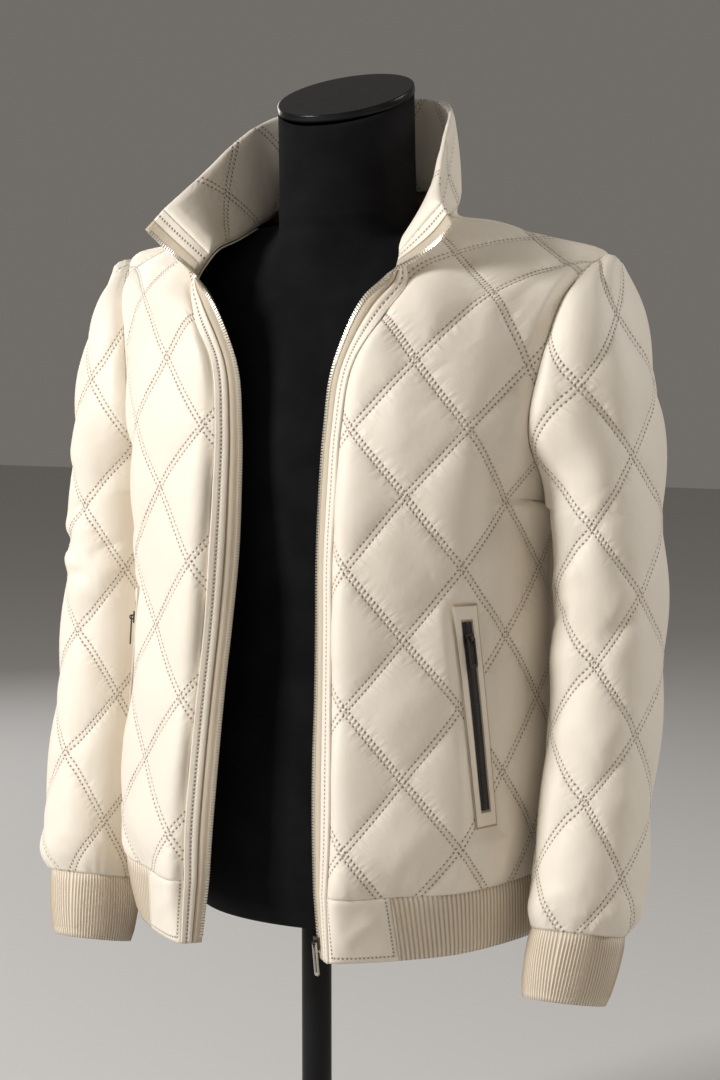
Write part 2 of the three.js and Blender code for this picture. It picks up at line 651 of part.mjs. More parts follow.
function sleeveSheet() {
  const underarm = 1 + ROWS_BELOW_CROSSING + UNDERARM_ROW;
  const frontNodes = [];
  const backNodes = [];
  for (let index = underarm + 1; index < LAST_ROW; index += 1) {
    frontNodes.push(node(sideNode(index), 0));
    backNodes.push(node(armNode(index), 0));
  }
  const tip = node(front.side(FRONT_HEIGHT), 0);
  const rows = [];
  const lattice = (number, from, to, build) => {
    const nodes = [];
    for (let i = -SLEEVE_SPAN; i <= SLEEVE_SPAN; i += 1) {
      const angle = SLEEVE_CROSSING_AT + i * SLEEVE_COLUMN;
      const inside = angle > from + EDGE_MARGIN && angle < to - EDGE_MARGIN;
      if (inside && (i + number) % 2 === 0) {
        nodes.push(build(angle, puff(i / DIAMOND_STEPS, number / DIAMOND_STEPS)));
      }
    }
    return nodes;
  };
  const ring = (level, number, lift, edge) => {
    const seam = edge ?? node(sleevePoint(level, 180), 180, lift * SLEEVE_SEAM_PUFF);
    const flatter = (angle) => 1 - SLEEVE_INNER_FLAT * Math.max(0, -Math.cos(rad(angle)));
    const nodes = lattice(number, -180, 180, (angle, share) =>
      node(sleevePoint(level, angle), angle, lift * share * flatter(angle)),
    );
    return [seam, ...nodes, seam];
  };
  const hem = ring(SLEEVE[0].height, SLEEVE_HEM_NUMBER, 0);
  for (const item of hem) item.level = V(0, Math.sin(rad(CUFF.lean)), Math.cos(rad(CUFF.lean)));
  hem.keep = true;
  rows.push(hem);
  let frontUsed = 0;
  let backUsed = 0;
  let done = false;
  const underarmLevel = front.side(UNDERARM_HEIGHT).z;
  for (let number = SLEEVE_HEM_NUMBER + 1; number <= SLEEVE_TOP_ROW && !done; number += 1) {
    const level = SLEEVE_FIRST_CROSSING + number * SLEEVE_ROW;
    if (level < underarmLevel - UNDERARM_REACH) {
      const row = ring(level, number, PUFF);
      row.keep = number % 4 === 0;
      rows.push(row);
    } else if (level < underarmLevel + SLEEVE_ROW - UNDERARM_REACH) {
      const row = ring(level, number, PUFF, node(front.side(UNDERARM_HEIGHT), 180));
      row.keep = true;
      rows.push(row);
    } else {
      const nearest = (list, used) => {
        let best = used;
        while (best + 1 < list.length && list[best].point.z < level - ARMHOLE_REACH) best += 1;
        return best;
      };
      const a = nearest(frontNodes, frontUsed);
      const b = nearest(backNodes, backUsed);
      if (a >= frontNodes.length - 1 || b >= backNodes.length - 1) done = true;
      const start = frontNodes[a];
      const end = backNodes[b];
      const from = sleeveAngle(level, start.point);
      const to = sleeveAngle(level, end.point);
      const startOff = start.point.clone().sub(sleevePoint(level, from));
      const endOff = end.point.clone().sub(sleevePoint(level, to));
      start.across = from;
      end.across = to;
      const nodes = lattice(number, from, to, (angle, share) => {
        const ease = (gap) => 0.5 + 0.5 * Math.cos(Math.PI * Math.min(1, gap / CAP_EASE));
        const place = sleevePoint(level, angle);
        place.addScaledVector(startOff, ease(angle - from)).addScaledVector(endOff, ease(to - angle));
        const fade = edgeFade(Math.min(angle - from, to - angle) * SLEEVE_DEGREE);
        return node(place, angle, PUFF * share * fade);
      });
      const row = [start, ...nodes, end];
      row.leftBelow = frontNodes.slice(frontUsed, a);
      row.rightBelow = backNodes.slice(backUsed, b);
      row.keep = number % 2 === 0;
      frontUsed = a + 1;
      backUsed = b + 1;
      rows.push(row);
    }
  }
  const crown = [tip];
  crown.leftBelow = frontNodes.slice(frontUsed);
  crown.rightBelow = backNodes.slice(backUsed);
  rows.push(crown);
  return new Sheet(rows);
}

// Collar, plackets, zip tapes and facings

const TWIST_GAP = 1.1; // the seams stand further apart where the front edge twists at the neck corner
const NECK_INSET = 0.25;
const COLLAR_ROWS = 6;
const COLLAR_WALL = 4;
const COLLAR_PUFF = 2;
const COLLAR_EVEN = 0.4; // share of the collar's swell that is even, the rest follows the quilt
const COLLAR_DIAMONDS = 1.2; // half diamonds up the collar

function collarHalf() {
  const columns = [];
  const add = (seam, top) => columns.push({ seam, top });
  const sideIndex = LAST_ROW - CORNER_INDEX;
  for (let i = 0; i < sideIndex; i += 1) {
    add(front.edge(panelHeights[CORNER_INDEX + i]), collarTopFront(i / sideIndex));
  }
  for (let i = 0; i <= NECK_BACK_NODES; i += 1) {
    const share = i / NECK_BACK_NODES;
    add(neckBack(share), collarTopBack(share));
  }
  return columns;
}

function collarSheet() {
  const half = collarHalf();
  const others = half.slice(0, -1).reverse();
  const all = [...half, ...others.map(({ seam, top }) => ({ seam: mirrored(seam), top: mirrored(top) }))];
  // Seen from outside, left to right runs from the wearer's left round the back.
  const sums = new Line(all.map(({ seam }) => seam)).sums;
  const rows = [];
  for (let r = 0; r <= COLLAR_ROWS; r += 1) {
    const share = r / COLLAR_ROWS;
    const row = all.map(({ seam, top }, i) => {
      const place = seam.clone().lerp(top, share);
      const edge = r === 0 || r === COLLAR_ROWS || i === 0 || i === all.length - 1;
      const diamond = puff(sums[i] / DIAMOND_HALF_WIDTH, share * COLLAR_DIAMONDS);
      const swell = edge ? 0 : COLLAR_PUFF * (COLLAR_EVEN + (1 - COLLAR_EVEN) * diamond);
      const thin = r === 0 ? CLOTH : COLLAR_WALL;
      const end = i === 0 || i === all.length - 1;
      const item = node(place, sums[i], swell, end ? CLOTH : thin);
      if (r === 0) item.inset = NECK_INSET;
      if (end && r <= 1) item.inset = TWIST_GAP;
      return item;
    });
    row.keep = r % 2 === 0;
    rows.push(row);
  }
  return new Sheet(rows);
}

// Rows of the front edge strip, from the hem to the collar's tip: the zip's place and the panel's edge.
function edgeRows() {
  const rows = [{ zip: at(BAND_BOTTOM[0]), edge: at(BAND_BOTTOM[1]) }];
  for (let index = 0; index <= CORNER_INDEX; index += 1) {
    rows.push({ zip: front.zip(panelHeights[index]), edge: front.edge(panelHeights[index]) });
  }
  const [{ seam, top }] = collarHalf();
  for (let r = 1; r <= COLLAR_ROWS; r += 1) {
    rows.push({ zip: collarZip(r / COLLAR_ROWS), edge: seam.clone().lerp(top, r / COLLAR_ROWS) });
  }
  return rows;
}

const TAPE_SHARE = 0.45; // of the way from the tooth edge to the panel edge

// share: from the tooth edge to the panel edge. lift and wall: the faces' distances from the sheet.
const PLACKET = [
  { share: TAPE_SHARE, lift: 0.6, wall: 1.2 },
  { share: (1 + TAPE_SHARE) / 2, lift: 1.6, wall: 1.2 },
  { share: 1, lift: 0, wall: CLOTH },
];
const TAPE = [
  { share: 0, lift: 1.1, wall: 1.1 },
  { share: 0.15, lift: 1.1, wall: 1.1 },
  { share: TAPE_SHARE, lift: 0, wall: 0.8 },
];

function stripSheet(columns) {
  const rows = edgeRows().map(({ zip, edge }, r) =>
    columns.map(({ share, lift, wall }) => {
      const item = node(mix(zip, edge, share), share, lift, wall);
      if (Math.abs(r - 1 - CORNER_INDEX) <= 1) item.inset = TWIST_GAP;
      return item;
    }),
  );
  return new Sheet(rows);
}

const FACING_FROM_ROW = 26;
const FACING_TO = 62; // across the panel
const FACING_DEPTH = 2.4; // under the panel's outer face
const FACING_WALL = 1.2;

function facingSheet(panel) {
  const rows = panel.rows.slice(FACING_FROM_ROW, LAST_ROW).map((row) => {
    const kept = row.filter(({ across }) => across < FACING_TO);
    const facing = kept.map(({ point, across }) => node(point, across, 0, FACING_WALL));
    facing.keep = true;
    return facing;
  });
  return new Sheet(rows);
}

// Hem band and cuffs

// The upper and lower edges of the hem, from the wearer's left front edge to the centre back.
function bandLines() {
  const { edge, fold, chest, corner, side } = front;
  const { blade, mid, spine } = back;
  const top = [edge, fold, chest, corner, side, blade, mid, spine].map((read) => read(0));
  const round = (places) => stretch([...places, mirrored(places[places.length - 2])], 0, places.length - 1);
  return { top: round(top), bottom: round(BAND_BOTTOM.slice(1).map(at)) };
}

const TAB = { width: 58, columns: 5, lift: 0.4, wall: 1.8 };

function tabSheet() {
  const { top, bottom } = bandLines();
  const rows = [bottom, top].map((line) =>
    Array.from({ length: TAB.columns + 1 }, (_, i) => {
      const share = i / TAB.columns;
      return { ...node(line.at(TAB.width * share), share, TAB.lift, TAB.wall), level: V(0, 0, 1) };
    }),
  );
  return new Sheet(rows);
}

// A ribbed strip between two lists of places, top and bottom. closed joins its ends.
function ribbedRows(bottomAt, topAt, count, every, closed) {
  return [bottomAt, topAt].map((place) => {
    const row = [];
    for (let i = 0; i <= count; i += 1) {
      const item = node(place(i / count), i, i % 2 === 0 ? RIB_HEIGHT : 0, RIB_WALL);
      item.plain = i % every === 0 || i === count;
      row.push(item);
    }
    if (closed) row[count] = row[0];
    return row;
  });
}

// The wall of a ribbed strip: ribs outside, a plain inside with fewer nodes.
function ribbedGeometry(rows, closed, mirror, level) {
  const [low, high] = rows;
  const count = low.length - 1;
  const positions = [];
  const push = (p) => positions.push(mirror ? -p.x : p.x, p.y, p.z) / 3 - 1;
  const outward = (row, i) => {
    const ahead = closed ? row[(i + 1) % count] : row[Math.min(i + 1, count)];
    const behind = closed ? row[(i - 1 + count) % count] : row[Math.max(i - 1, 0)];
    return ahead.point.clone().sub(behind.point).cross(level).normalize();
  };
  const ids = rows.map((row, r) => {
    const pull = level.clone().multiplyScalar(r === 0 ? 0 : -SEAM_GAP / 2);
    const outer = row.map((item, i) => {
      if (closed && i === count) return null;
      return push(item.point.clone().add(pull).addScaledVector(outward(row, i), item.lift));
    });
    const inner = row.map((item, i) => {
      if ((closed && i === count) || !item.plain) return null;
      return push(item.point.clone().add(pull).addScaledVector(outward(row, i), -item.wall));
    });
    if (closed) {
      outer[count] = outer[0];
      inner[count] = inner[0];
    }
    return { outer, inner };
  });
  const faces = [];
  const quad = (a, b, c, d) => faces.push([a, b, c], [a, c, d]);
  for (let i = 0; i < count; i += 1) {
    quad(ids[0].outer[i], ids[0].outer[i + 1], ids[1].outer[i + 1], ids[1].outer[i]);
  }
  const plain = low.map((_, i) => i).filter((i) => low[i].plain);
  for (let k = 0; k + 1 < plain.length; k += 1) {
    const a = plain[k];
    const b = plain[k + 1];
    quad(ids[0].inner[b], ids[0].inner[a], ids[1].inner[a], ids[1].inner[b]);
    for (const r of [0, 1]) {
      const fan = (p, q, s) => faces.push(r === 0 ? [q, p, s] : [p, q, s]);
      const middle = Math.floor((a + b) / 2);
      for (let i = a; i < b; i += 1) {
        fan(ids[r].outer[i], ids[r].outer[i + 1], i < middle ? ids[r].inner[a] : ids[r].inner[b]);
        if (i + 1 === middle || (middle === a && i === a)) {
          fan(ids[r].outer[middle], ids[r].inner[b], ids[r].inner[a]);
        }
      }
    }
  }
  if (!closed) {
    quad(ids[0].outer[0], ids[1].outer[0], ids[1].inner[0], ids[0].inner[0]);
    quad(ids[0].outer[count], ids[0].inner[count], ids[1].inner[count], ids[1].outer[count]);
  }
  return facesGeometry(positions, faces, mirror);
}

const BAND_PLAIN_EVERY = 8; // rib nodes for one node of the plain inside
const CUFF_PLAIN_EVERY = 6;
const even = (value) => 2 * Math.round(value / 2);

function bandGeometry() {
  const { top, bottom } = bandLines();
  const round = (line) => (share) => {
    const usable = line.length - TAB.width - SEAM_GAP;
    const point = line.at(TAB.width + SEAM_GAP + 2 * Math.min(share, 1 - share) * usable);
    return share <= 0.5 ? point : mirrored(point);
  };
  const count = even((4 * (top.length - TAB.width)) / RIB_PITCH);
  const rows = ribbedRows(round(bottom), round(top), count, BAND_PLAIN_EVERY, false);
  return ribbedGeometry(rows, false, false, V(0, 0, 1));
}

function cuffGeometry(mirror) {
  const { bottom, bottom_half, depth, lean } = CUFF;
  const level = V(0, Math.sin(rad(lean)), Math.cos(rad(lean)));
  const low = (share) => {
    const angle = 2 * Math.PI * share;
    const dy = bottom_half * depth * Math.sin(angle);
    return V(bottom.x + bottom_half * Math.cos(angle), bottom.y + dy, bottom.z - dy * Math.tan(rad(lean)));
  };
  const high = (share) => sleevePoint(SLEEVE[0].height, 360 * share);
  const count = even((4 * Math.PI * SLEEVE[0].half_y) / RIB_PITCH);
  return ribbedGeometry(ribbedRows(low, high, count, CUFF_PLAIN_EVERY, true), true, mirror, level);
}

// Pockets, laid on the front panel from its own places

const WELT = { wall: 1.5, above: 0.3 };
const POCKET_ZIP = { wall: 1, ridge: 0.7, above: 0.3 };

// The welt is a frame: the lower row runs round its outside, the upper row round its window.
function weltSheet(panel) {
  const rows = panel.rows.filter((row) => row.pocket?.length > 0).map((row) => row.pocket);
  const last = rows.length - 1;
  // Both loops count the same height along each side, so that they join level with each other.
  const outside = [[rows[0][0], 0], [rows[0][1], 0.2], [rows[0][2], 0.4]];
  for (let r = 0; r <= last; r += 1) outside.push([rows[r][3], r + 1]);
  outside.push([rows[last][2], last + 1.3], [rows[last][1], last + 1.6]);
  for (let r = last; r >= 1; r -= 1) outside.push([rows[r][0], 2 * last + 3 - r]);
  const inside = [[rows[1][1], 0], [rows[1][2], 0.3]];
  for (let r = 2; r < last; r += 1) inside.push([rows[r][2], r + 0.5]);
  inside.push([rows[last - 1][1], last + 1.45]);
  for (let r = last - 2; r >= 2; r -= 1) inside.push([rows[r][1], 2 * last + 2.5 - r]);
  const loop = (items) => {
    const nodes = items.map(([{ point }, place]) => node(point, place, 0, WELT.wall));
    nodes.push(nodes[0]);
    nodes.keep = true;
    return nodes;
  };
  return new Sheet([loop(outside), loop(inside)]);
}

function pocketZipSheet(panel) {
  const pocketRows = panel.rows.filter((row) => row.pocket?.length > 0);
  const rows = pocketRows.slice(1, -1).map((row) => row.pocket);
  const columns = [[0, 0], [0.3, POCKET_ZIP.ridge], [0.7, POCKET_ZIP.ridge], [1, 0]];
  const nodes = (row) =>
    columns.map(([share, lift]) => {
      const item = node(mix(row[1].point, row[2].point, share), share, lift, POCKET_ZIP.wall);
      item.normal = share > 0 && share < 1 ? normalAt(row[1]).add(normalAt(row[2])).normalize() : null;
      return item;
    });
  return new Sheet(rows.map(nodes));
}

// Zip sliders and pull tabs

const PULL = { width: 7.4, bar: 1.5, thickness: 1.3, corner: 1.2, main_length: 27, pocket_length: 24 };
const LOOP = { inner: 1.2, wire: 0.9, width: 2, sink: 0.2, curve: 6 };
const CHANNEL = {
  half_width: 4.6,
  length: 10,
  clear: 1.5, // from the sheet of the tape to each plate
  plate: 1.1,
  bottom_plate: 0.9,
  web: 0.8,
  beside: 0.45, // from the tooth edge to the web
};
const POCKET_SLIDER = { half_width: 3.8, length: 9, above: 2.3, plate: 1.4 };

const wasm = await Module();
wasm.setup();

function toManifold(geometry) {
  const bare = new THREE.BufferGeometry().setAttribute("position", geometry.getAttribute("position"));
  const merged = mergeVertices(bare, 1e-4);
  const mesh = { numProp: 3, vertProperties: merged.attributes.position.array, triVerts: merged.index.array };
  return new wasm.Manifold(new wasm.Mesh(mesh));
}

function joined(geometries) {
  const solids = geometries.map((item) => toManifold(item.index ? item.toNonIndexed() : item));
  const mesh = wasm.Manifold.union(solids).getMesh();
  const geometry = new THREE.BufferGeometry();
  geometry.setAttribute("position", new THREE.BufferAttribute(mesh.vertProperties, 3));
  geometry.setIndex(new THREE.BufferAttribute(mesh.triVerts, 1));
  const plain = geometry.toNonIndexed();
  plain.computeVertexNormals();
  return plain;
}

function polygon(points) {
  const shape = new THREE.Shape();
  points.forEach(([x, y], i) => (i === 0 ? shape.moveTo(x, y) : shape.lineTo(x, y)));
  shape.closePath();
  return shape;
}

function rectangle(left, bottom, right, top) {
  return polygon([[left, bottom], [right, bottom], [right, top], [left, top]]);
}

// A pull tab: a hollow frame in the XY plane that hangs from the origin along -Y.
function pullGeometry(length) {
  const { width, bar, thickness, corner: cut } = PULL;
  const half = width / 2;
  const shape = polygon([
    [-half, -length + cut], [-half + cut, -length], [half - cut, -length], [half, -length + cut],
    [half, bar / 2], [-half, bar / 2],
  ]);
  shape.holes.push(rectangle(-half + bar, -length + 2 * bar, half - bar, -bar / 2));
  const geometry = new THREE.ExtrudeGeometry(shape, { depth: thickness, bevelEnabled: false });
  geometry.translate(0, 0, -thickness / 2);
  return geometry;
}

// The arch that holds a pull tab's bar, standing on a plate whose top is at the given height.
function loopGeometry(plateTop, middle) {
  const { inner, wire, width, sink, curve } = LOOP;
  const outer = inner + wire;
  const foot = plateTop - sink;
  const shape = new THREE.Shape();
  shape.moveTo(outer, foot);
  shape.lineTo(outer, middle);
  shape.absarc(0, middle, outer, 0, Math.PI, false);
  shape.lineTo(-outer, foot);
  shape.lineTo(-inner, foot);
  shape.lineTo(-inner, middle);
  shape.absarc(0, middle, inner, Math.PI, 0, true);
  shape.lineTo(inner, foot);
  shape.closePath();
  const options = { depth: width, bevelEnabled: false, curveSegments: curve };
  const geometry = new THREE.ExtrudeGeometry(shape, options);
  geometry.translate(0, 0, -width / 2);
  return geometry.applyMatrix4(new THREE.Matrix4().makeBasis(V(0, 1, 0), V(0, 0, 1), V(1, 0, 0)));
}

const hingeHeight = (plateTop) => plateTop + LOOP.inner;

// The main slider: two plates over and under the teeth, joined by a web beside them. Y runs along the zip.
function mainSliderGeometry() {
  const { half_width, length, clear, plate, bottom_plate, web, beside } = CHANNEL;
  const plateTop = clear + plate;
  const centre = -beside - web / 2;
  const shape = polygon([
    [centre - half_width, -clear - bottom_plate], [centre + half_width, -clear - bottom_plate],
    [centre + half_width, -clear], [-beside, -clear], [-beside, clear], [centre + half_width, clear],
    [centre + half_width, plateTop], [centre - half_width, plateTop], [centre - half_width, clear],
    [-beside - web, clear], [-beside - web, -clear], [centre - half_width, -clear],
  ]);
  const body = new THREE.ExtrudeGeometry(shape, { depth: length, bevelEnabled: false });
  body.applyMatrix4(new THREE.Matrix4().makeBasis(V(1, 0, 0), V(0, 0, 1), V(0, -1, 0)));
  body.translate(0, length / 2, 0);
  const loop = loopGeometry(plateTop, hingeHeight(plateTop));
  loop.translate(centre, 0, 0);
  return joined([body, loop]);
}

function pocketSliderGeometry() {
  const { half_width, length, above, plate } = POCKET_SLIDER;
  const body = new THREE.BoxGeometry(2 * half_width, length, plate);
  body.translate(0, 0, above + plate / 2);
  return joined([body, loopGeometry(above + plate, hingeHeight(above + plate))]);
}

// The frame of a place on the cloth: X across, Y along the zip and Z outwards.
function frameAt(origin, along, outward, mirror) {
  const flip = (v) => (mirror ? mirrored(v) : v.clone());
  const up = flip(along).normalize();
  const out = flip(outward);
  out.addScaledVector(up, -out.dot(up)).normalize();
  return new THREE.Matrix4().makeBasis(up.clone().cross(out), up, out).setPosition(flip(origin));
}

// The dress form and its stand

// A closed solid through rings of places, from bottom to top.
function loft(rings) {
  const positions = [];
  const sides = rings[0].length;
  for (const p of rings.flat()) positions.push(p.x, p.y, p.z);
  const middle = (ring) => ring.reduce((sum, p) => sum.add(p), V(0, 0, 0)).divideScalar(sides);
  positions.push(...middle(rings[0]).toArray(), ...middle(rings[rings.length - 1]).toArray());
  const low = rings.length * sides;
  const high = low + 1;
  const faces = [];
  for (let r = 0; r + 1 < rings.length; r += 1) {
    for (let i = 0; i < sides; i += 1) {
      const a = r * sides + i;
      const b = r * sides + ((i + 1) % sides);
      faces.push([a, b, b + sides], [a, b + sides, a + sides]);
    }
  }
  for (let i = 0; i < sides; i += 1) {
    const j = (i + 1) % sides;
    faces.push([low, j, i]);
    faces.push([high, (rings.length - 1) * sides + i, (rings.length - 1) * sides + j]);
  }
  return facesGeometry(positions, faces, false);
}

const capSlope = Math.tan(rad(CAP.tilt));

function torsoGeometry() {
  const reach = (halfX, halfY, angle) => 1 / Math.hypot(Math.cos(angle) / halfX, Math.sin(angle) / halfY);
  const rings = TORSO.map(({ z, half_x, half_y, y, ridge_x = 1, ridge_y = 1 }) => {
    const ring = [];
    for (let i = 0; i < TORSO_SIDES; i += 1) {
      const angle = (2 * Math.PI * i) / TORSO_SIDES;
      const radius = Math.max(reach(half_x, half_y, angle), reach(ridge_x, ridge_y, angle));
      ring.push(V(radius * Math.cos(angle), y + radius * Math.sin(angle), z));
    }
    return ring;
  });
  const top = [];
  const clear = (CAP.thickness / 2 + SEAM_GAP) / Math.cos(rad(CAP.tilt));
  for (let i = 0; i < TORSO_SIDES; i += 1) {
    const angle = (2 * Math.PI * i) / TORSO_SIDES;
    const x = CAP.middle.x + (CAP.radius - 1) * Math.cos(angle);
    const y = CAP.middle.y + (CAP.radius - 1) * Math.sin(angle);
    top.push(V(x, y, CAP.middle.z + y * capSlope - clear));
  }
  rings.push(top);
  return loft(rings);
}

function add(group, name, geometry, material) {
  const mesh = new THREE.Mesh(geometry, material);
  mesh.name = name;
  group.add(mesh);
  return mesh;
}

// The jacket and the form stand behind the pole

const root = new THREE.Group();
const worn = new THREE.Group();
worn.position.set(0, NECK_AXIS_Y, 0);
root.add(worn);

const sheets = {
  front: frontSheet(),
  back: backSheet(),
  sleeve: sleeveSheet(),
  collar: collarSheet(),
  placket: stripSheet(PLACKET),
  tape: stripSheet(TAPE),
  tab: tabSheet(),
};
for (const name of ["front", "sleeve", "placket", "tape", "tab"]) addNormals(sheets[name], true);
for (const name of ["back", "collar"]) addNormals(sheets[name], false);

add(worn, "back", wallGeometry(sheets.back), leather());
add(worn, "collar", wallGeometry(sheets.collar), leather());
for (const [side, mirror] of [["left", false], ["right", true]]) {
  add(worn, `front_${side}`, wallGeometry(sheets.front, { mirror }), leather());
  add(worn, `sleeve_${side}`, wallGeometry(sheets.sleeve, { mirror }), leather());
  add(worn, `placket_${side}`, wallGeometry(sheets.placket, { mirror }), leather());
  add(worn, `zip_tape_${side}`, wallGeometry(sheets.tape, { mirror }), zipTape());
  add(worn, `hem_tab_${side}`, wallGeometry(sheets.tab, { mirror }), leather());
  add(worn, `cuff_${side}`, cuffGeometry(mirror), ribKnit());
}
add(worn, "hem_band", bandGeometry(), ribKnit());

const welt = weltSheet(sheets.front);
const pocketZip = pocketZipSheet(sheets.front);
const facing = facingSheet(sheets.front);
const weltShift = { inset: 0, shift: WELT.above + WELT.wall };
const zipShift = { inset: SEAM_GAP, shift: POCKET_ZIP.above + POCKET_ZIP.wall };
for (const [side, mirror] of [["left", false], ["right", true]]) {
  const colour = side === "left" ? brownLining() : leather();
  add(worn, `facing_${side}`, wallGeometry(facing, { mirror, inset: 0, shift: -FACING_DEPTH }), colour);
  add(worn, `pocket_welt_${side}`, wallGeometry(welt, { mirror, ...weltShift }), leather());
  add(worn, `pocket_zip_${side}`, wallGeometry(pocketZip, { mirror, ...zipShift }), blackZip());
}

// The main slider stands near the foot of the wearer's left zip.
const SLIDER_SHARE = 0.24; // of the way up the hem band
const [bandFoot, bandHead] = edgeRows();
const zipUp = bandHead.zip.clone().sub(bandFoot.zip);
const sliderPlace = mix(bandFoot.zip, bandHead.zip, SLIDER_SHARE);
const tapeAcross = mix(bandFoot.edge, bandHead.edge, SLIDER_SHARE).sub(sliderPlace);
const mainFrame = frameAt(sliderPlace, zipUp, tapeAcross.clone().cross(zipUp), false);
const mainHinge = V(-CHANNEL.beside - CHANNEL.web / 2, 0, hingeHeight(CHANNEL.clear + CHANNEL.plate));
add(worn, "main_slider", mainSliderGeometry().applyMatrix4(mainFrame), blackMetal());
const mainPull = pullGeometry(PULL.main_length).translate(...mainHinge.toArray());
add(worn, "main_pull", mainPull.applyMatrix4(mainFrame), steel());

// Each pocket slider stands at the top of its zip.
const zipRows = pocketZip.rows;
const POCKET_SLIDER_ROW = zipRows.length - 2;
const zipMiddle = (row) => mix(row[0].point, row[3].point, 0.5);
const pocketAlong = zipMiddle(zipRows[POCKET_SLIDER_ROW]).sub(zipMiddle(zipRows[POCKET_SLIDER_ROW - 2]));
const pocketOut = V(0, 0, 0);
for (const item of zipRows[POCKET_SLIDER_ROW].slice(1, 3)) pocketOut.add(normalAt(item));
for (const [side, mirror] of [["left", false], ["right", true]]) {
  const place = frameAt(zipMiddle(zipRows[POCKET_SLIDER_ROW]), pocketAlong, pocketOut, mirror);
  add(worn, `pocket_slider_${side}`, pocketSliderGeometry().applyMatrix4(place), blackMetal());
  const hinge = hingeHeight(POCKET_SLIDER.above + POCKET_SLIDER.plate);
  const pull = pullGeometry(PULL.pocket_length).translate(0, 0, hinge);
  add(worn, `pocket_pull_${side}`, pull.applyMatrix4(place), steel());
}

add(worn, "dress_form", torsoGeometry(), formCloth());
const capGeometry = new THREE.CylinderGeometry(CAP.radius, CAP.radius, CAP.thickness, ROUND_SIDES.cap);
const cap = add(worn, "neck_cap", capGeometry, blackGloss());
cap.position.copy(CAP.middle);
cap.rotation.x = Math.PI / 2 + rad(CAP.tilt);

const poleTop = TORSO[0].z - SEAM_GAP;
const poleLength = poleTop - BASE_THICKNESS - SEAM_GAP;
const poleGeometry = new THREE.CylinderGeometry(POLE_RADIUS, POLE_RADIUS, poleLength, ROUND_SIDES.pole);
const pole = add(root, "pole", poleGeometry, blackGloss());
pole.rotation.x = Math.PI / 2;
pole.position.z = (poleTop + BASE_THICKNESS + SEAM_GAP) / 2;
const baseGeometry = new THREE.CylinderGeometry(BASE_RADIUS, BASE_RADIUS, BASE_THICKNESS, ROUND_SIDES.base);
const base = add(root, "base_plate", baseGeometry, blackGloss());
base.rotation.x = Math.PI / 2;
base.position.z = BASE_THICKNESS / 2;

export default root;
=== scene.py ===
# %% [markdown]
# # A quilted zip jacket on a dress form
# The jacket is sewn from padded leather pieces: a back, two fronts, two sleeves and a stand collar, with ribbed
# knit at the hem and cuffs. Every piece here is a thin shell on the form that the frame gives it, in metres.

# %% Start from the frame
import bpy
import bmesh
import json
import math
import numpy as np
from mathutils import Matrix, Vector

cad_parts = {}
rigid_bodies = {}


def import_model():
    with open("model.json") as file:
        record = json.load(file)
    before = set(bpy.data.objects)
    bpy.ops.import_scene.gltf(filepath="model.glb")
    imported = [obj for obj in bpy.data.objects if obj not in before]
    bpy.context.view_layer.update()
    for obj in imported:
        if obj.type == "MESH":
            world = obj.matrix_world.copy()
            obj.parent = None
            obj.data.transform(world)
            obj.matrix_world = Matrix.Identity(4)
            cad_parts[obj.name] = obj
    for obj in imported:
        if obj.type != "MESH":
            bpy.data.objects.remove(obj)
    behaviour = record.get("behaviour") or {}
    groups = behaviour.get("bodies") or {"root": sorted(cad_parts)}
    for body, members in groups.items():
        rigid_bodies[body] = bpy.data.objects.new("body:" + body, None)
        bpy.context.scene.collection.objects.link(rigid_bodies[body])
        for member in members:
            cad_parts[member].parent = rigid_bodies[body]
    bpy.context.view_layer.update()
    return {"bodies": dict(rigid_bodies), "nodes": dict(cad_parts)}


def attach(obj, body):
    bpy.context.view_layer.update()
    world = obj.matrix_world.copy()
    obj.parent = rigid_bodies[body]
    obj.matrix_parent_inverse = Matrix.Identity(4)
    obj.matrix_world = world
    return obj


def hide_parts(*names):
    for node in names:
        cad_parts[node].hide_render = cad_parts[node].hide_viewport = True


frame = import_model()
NECK_AXIS = np.array([0.0, 0.062, 0.0])
print("bodies:", ", ".join(frame["bodies"]))

# %% [markdown]
# ## The camera
# The camera looks from the wearer's left, a little above the chest, with a long lens, so that the open front and
# the near sleeve fill the frame.

# %% Camera
AZIMUTH, ELEVATION = math.radians(26), math.radians(5.5)
AIM = Vector((0.00948, 0.06662, 0.632))
DISTANCE = 2.060
view_back = Vector((math.sin(AZIMUTH) * math.cos(ELEVATION), -math.cos(AZIMUTH) * math.cos(ELEVATION),
                    math.sin(ELEVATION)))
lens = bpy.data.cameras.new("camera")
lens.lens = 78
lens.sensor_width = 36
lens.clip_start, lens.clip_end = 0.05, 50
camera = bpy.data.objects.new("camera", lens)
camera.location = AIM + view_back * DISTANCE
camera.rotation_euler = (-view_back).to_track_quat("-Z", "Y").to_euler()
bpy.context.collection.objects.link(camera)
bpy.context.scene.camera = camera
print("camera at", [round(v, 3) for v in camera.location])

# %% [markdown]
# ## Shader arithmetic
# Patterns such as stitches are sums on the cloth's own flat coordinates. A small class lets a socket take part
# in a Python expression, and each operation adds its Math node.

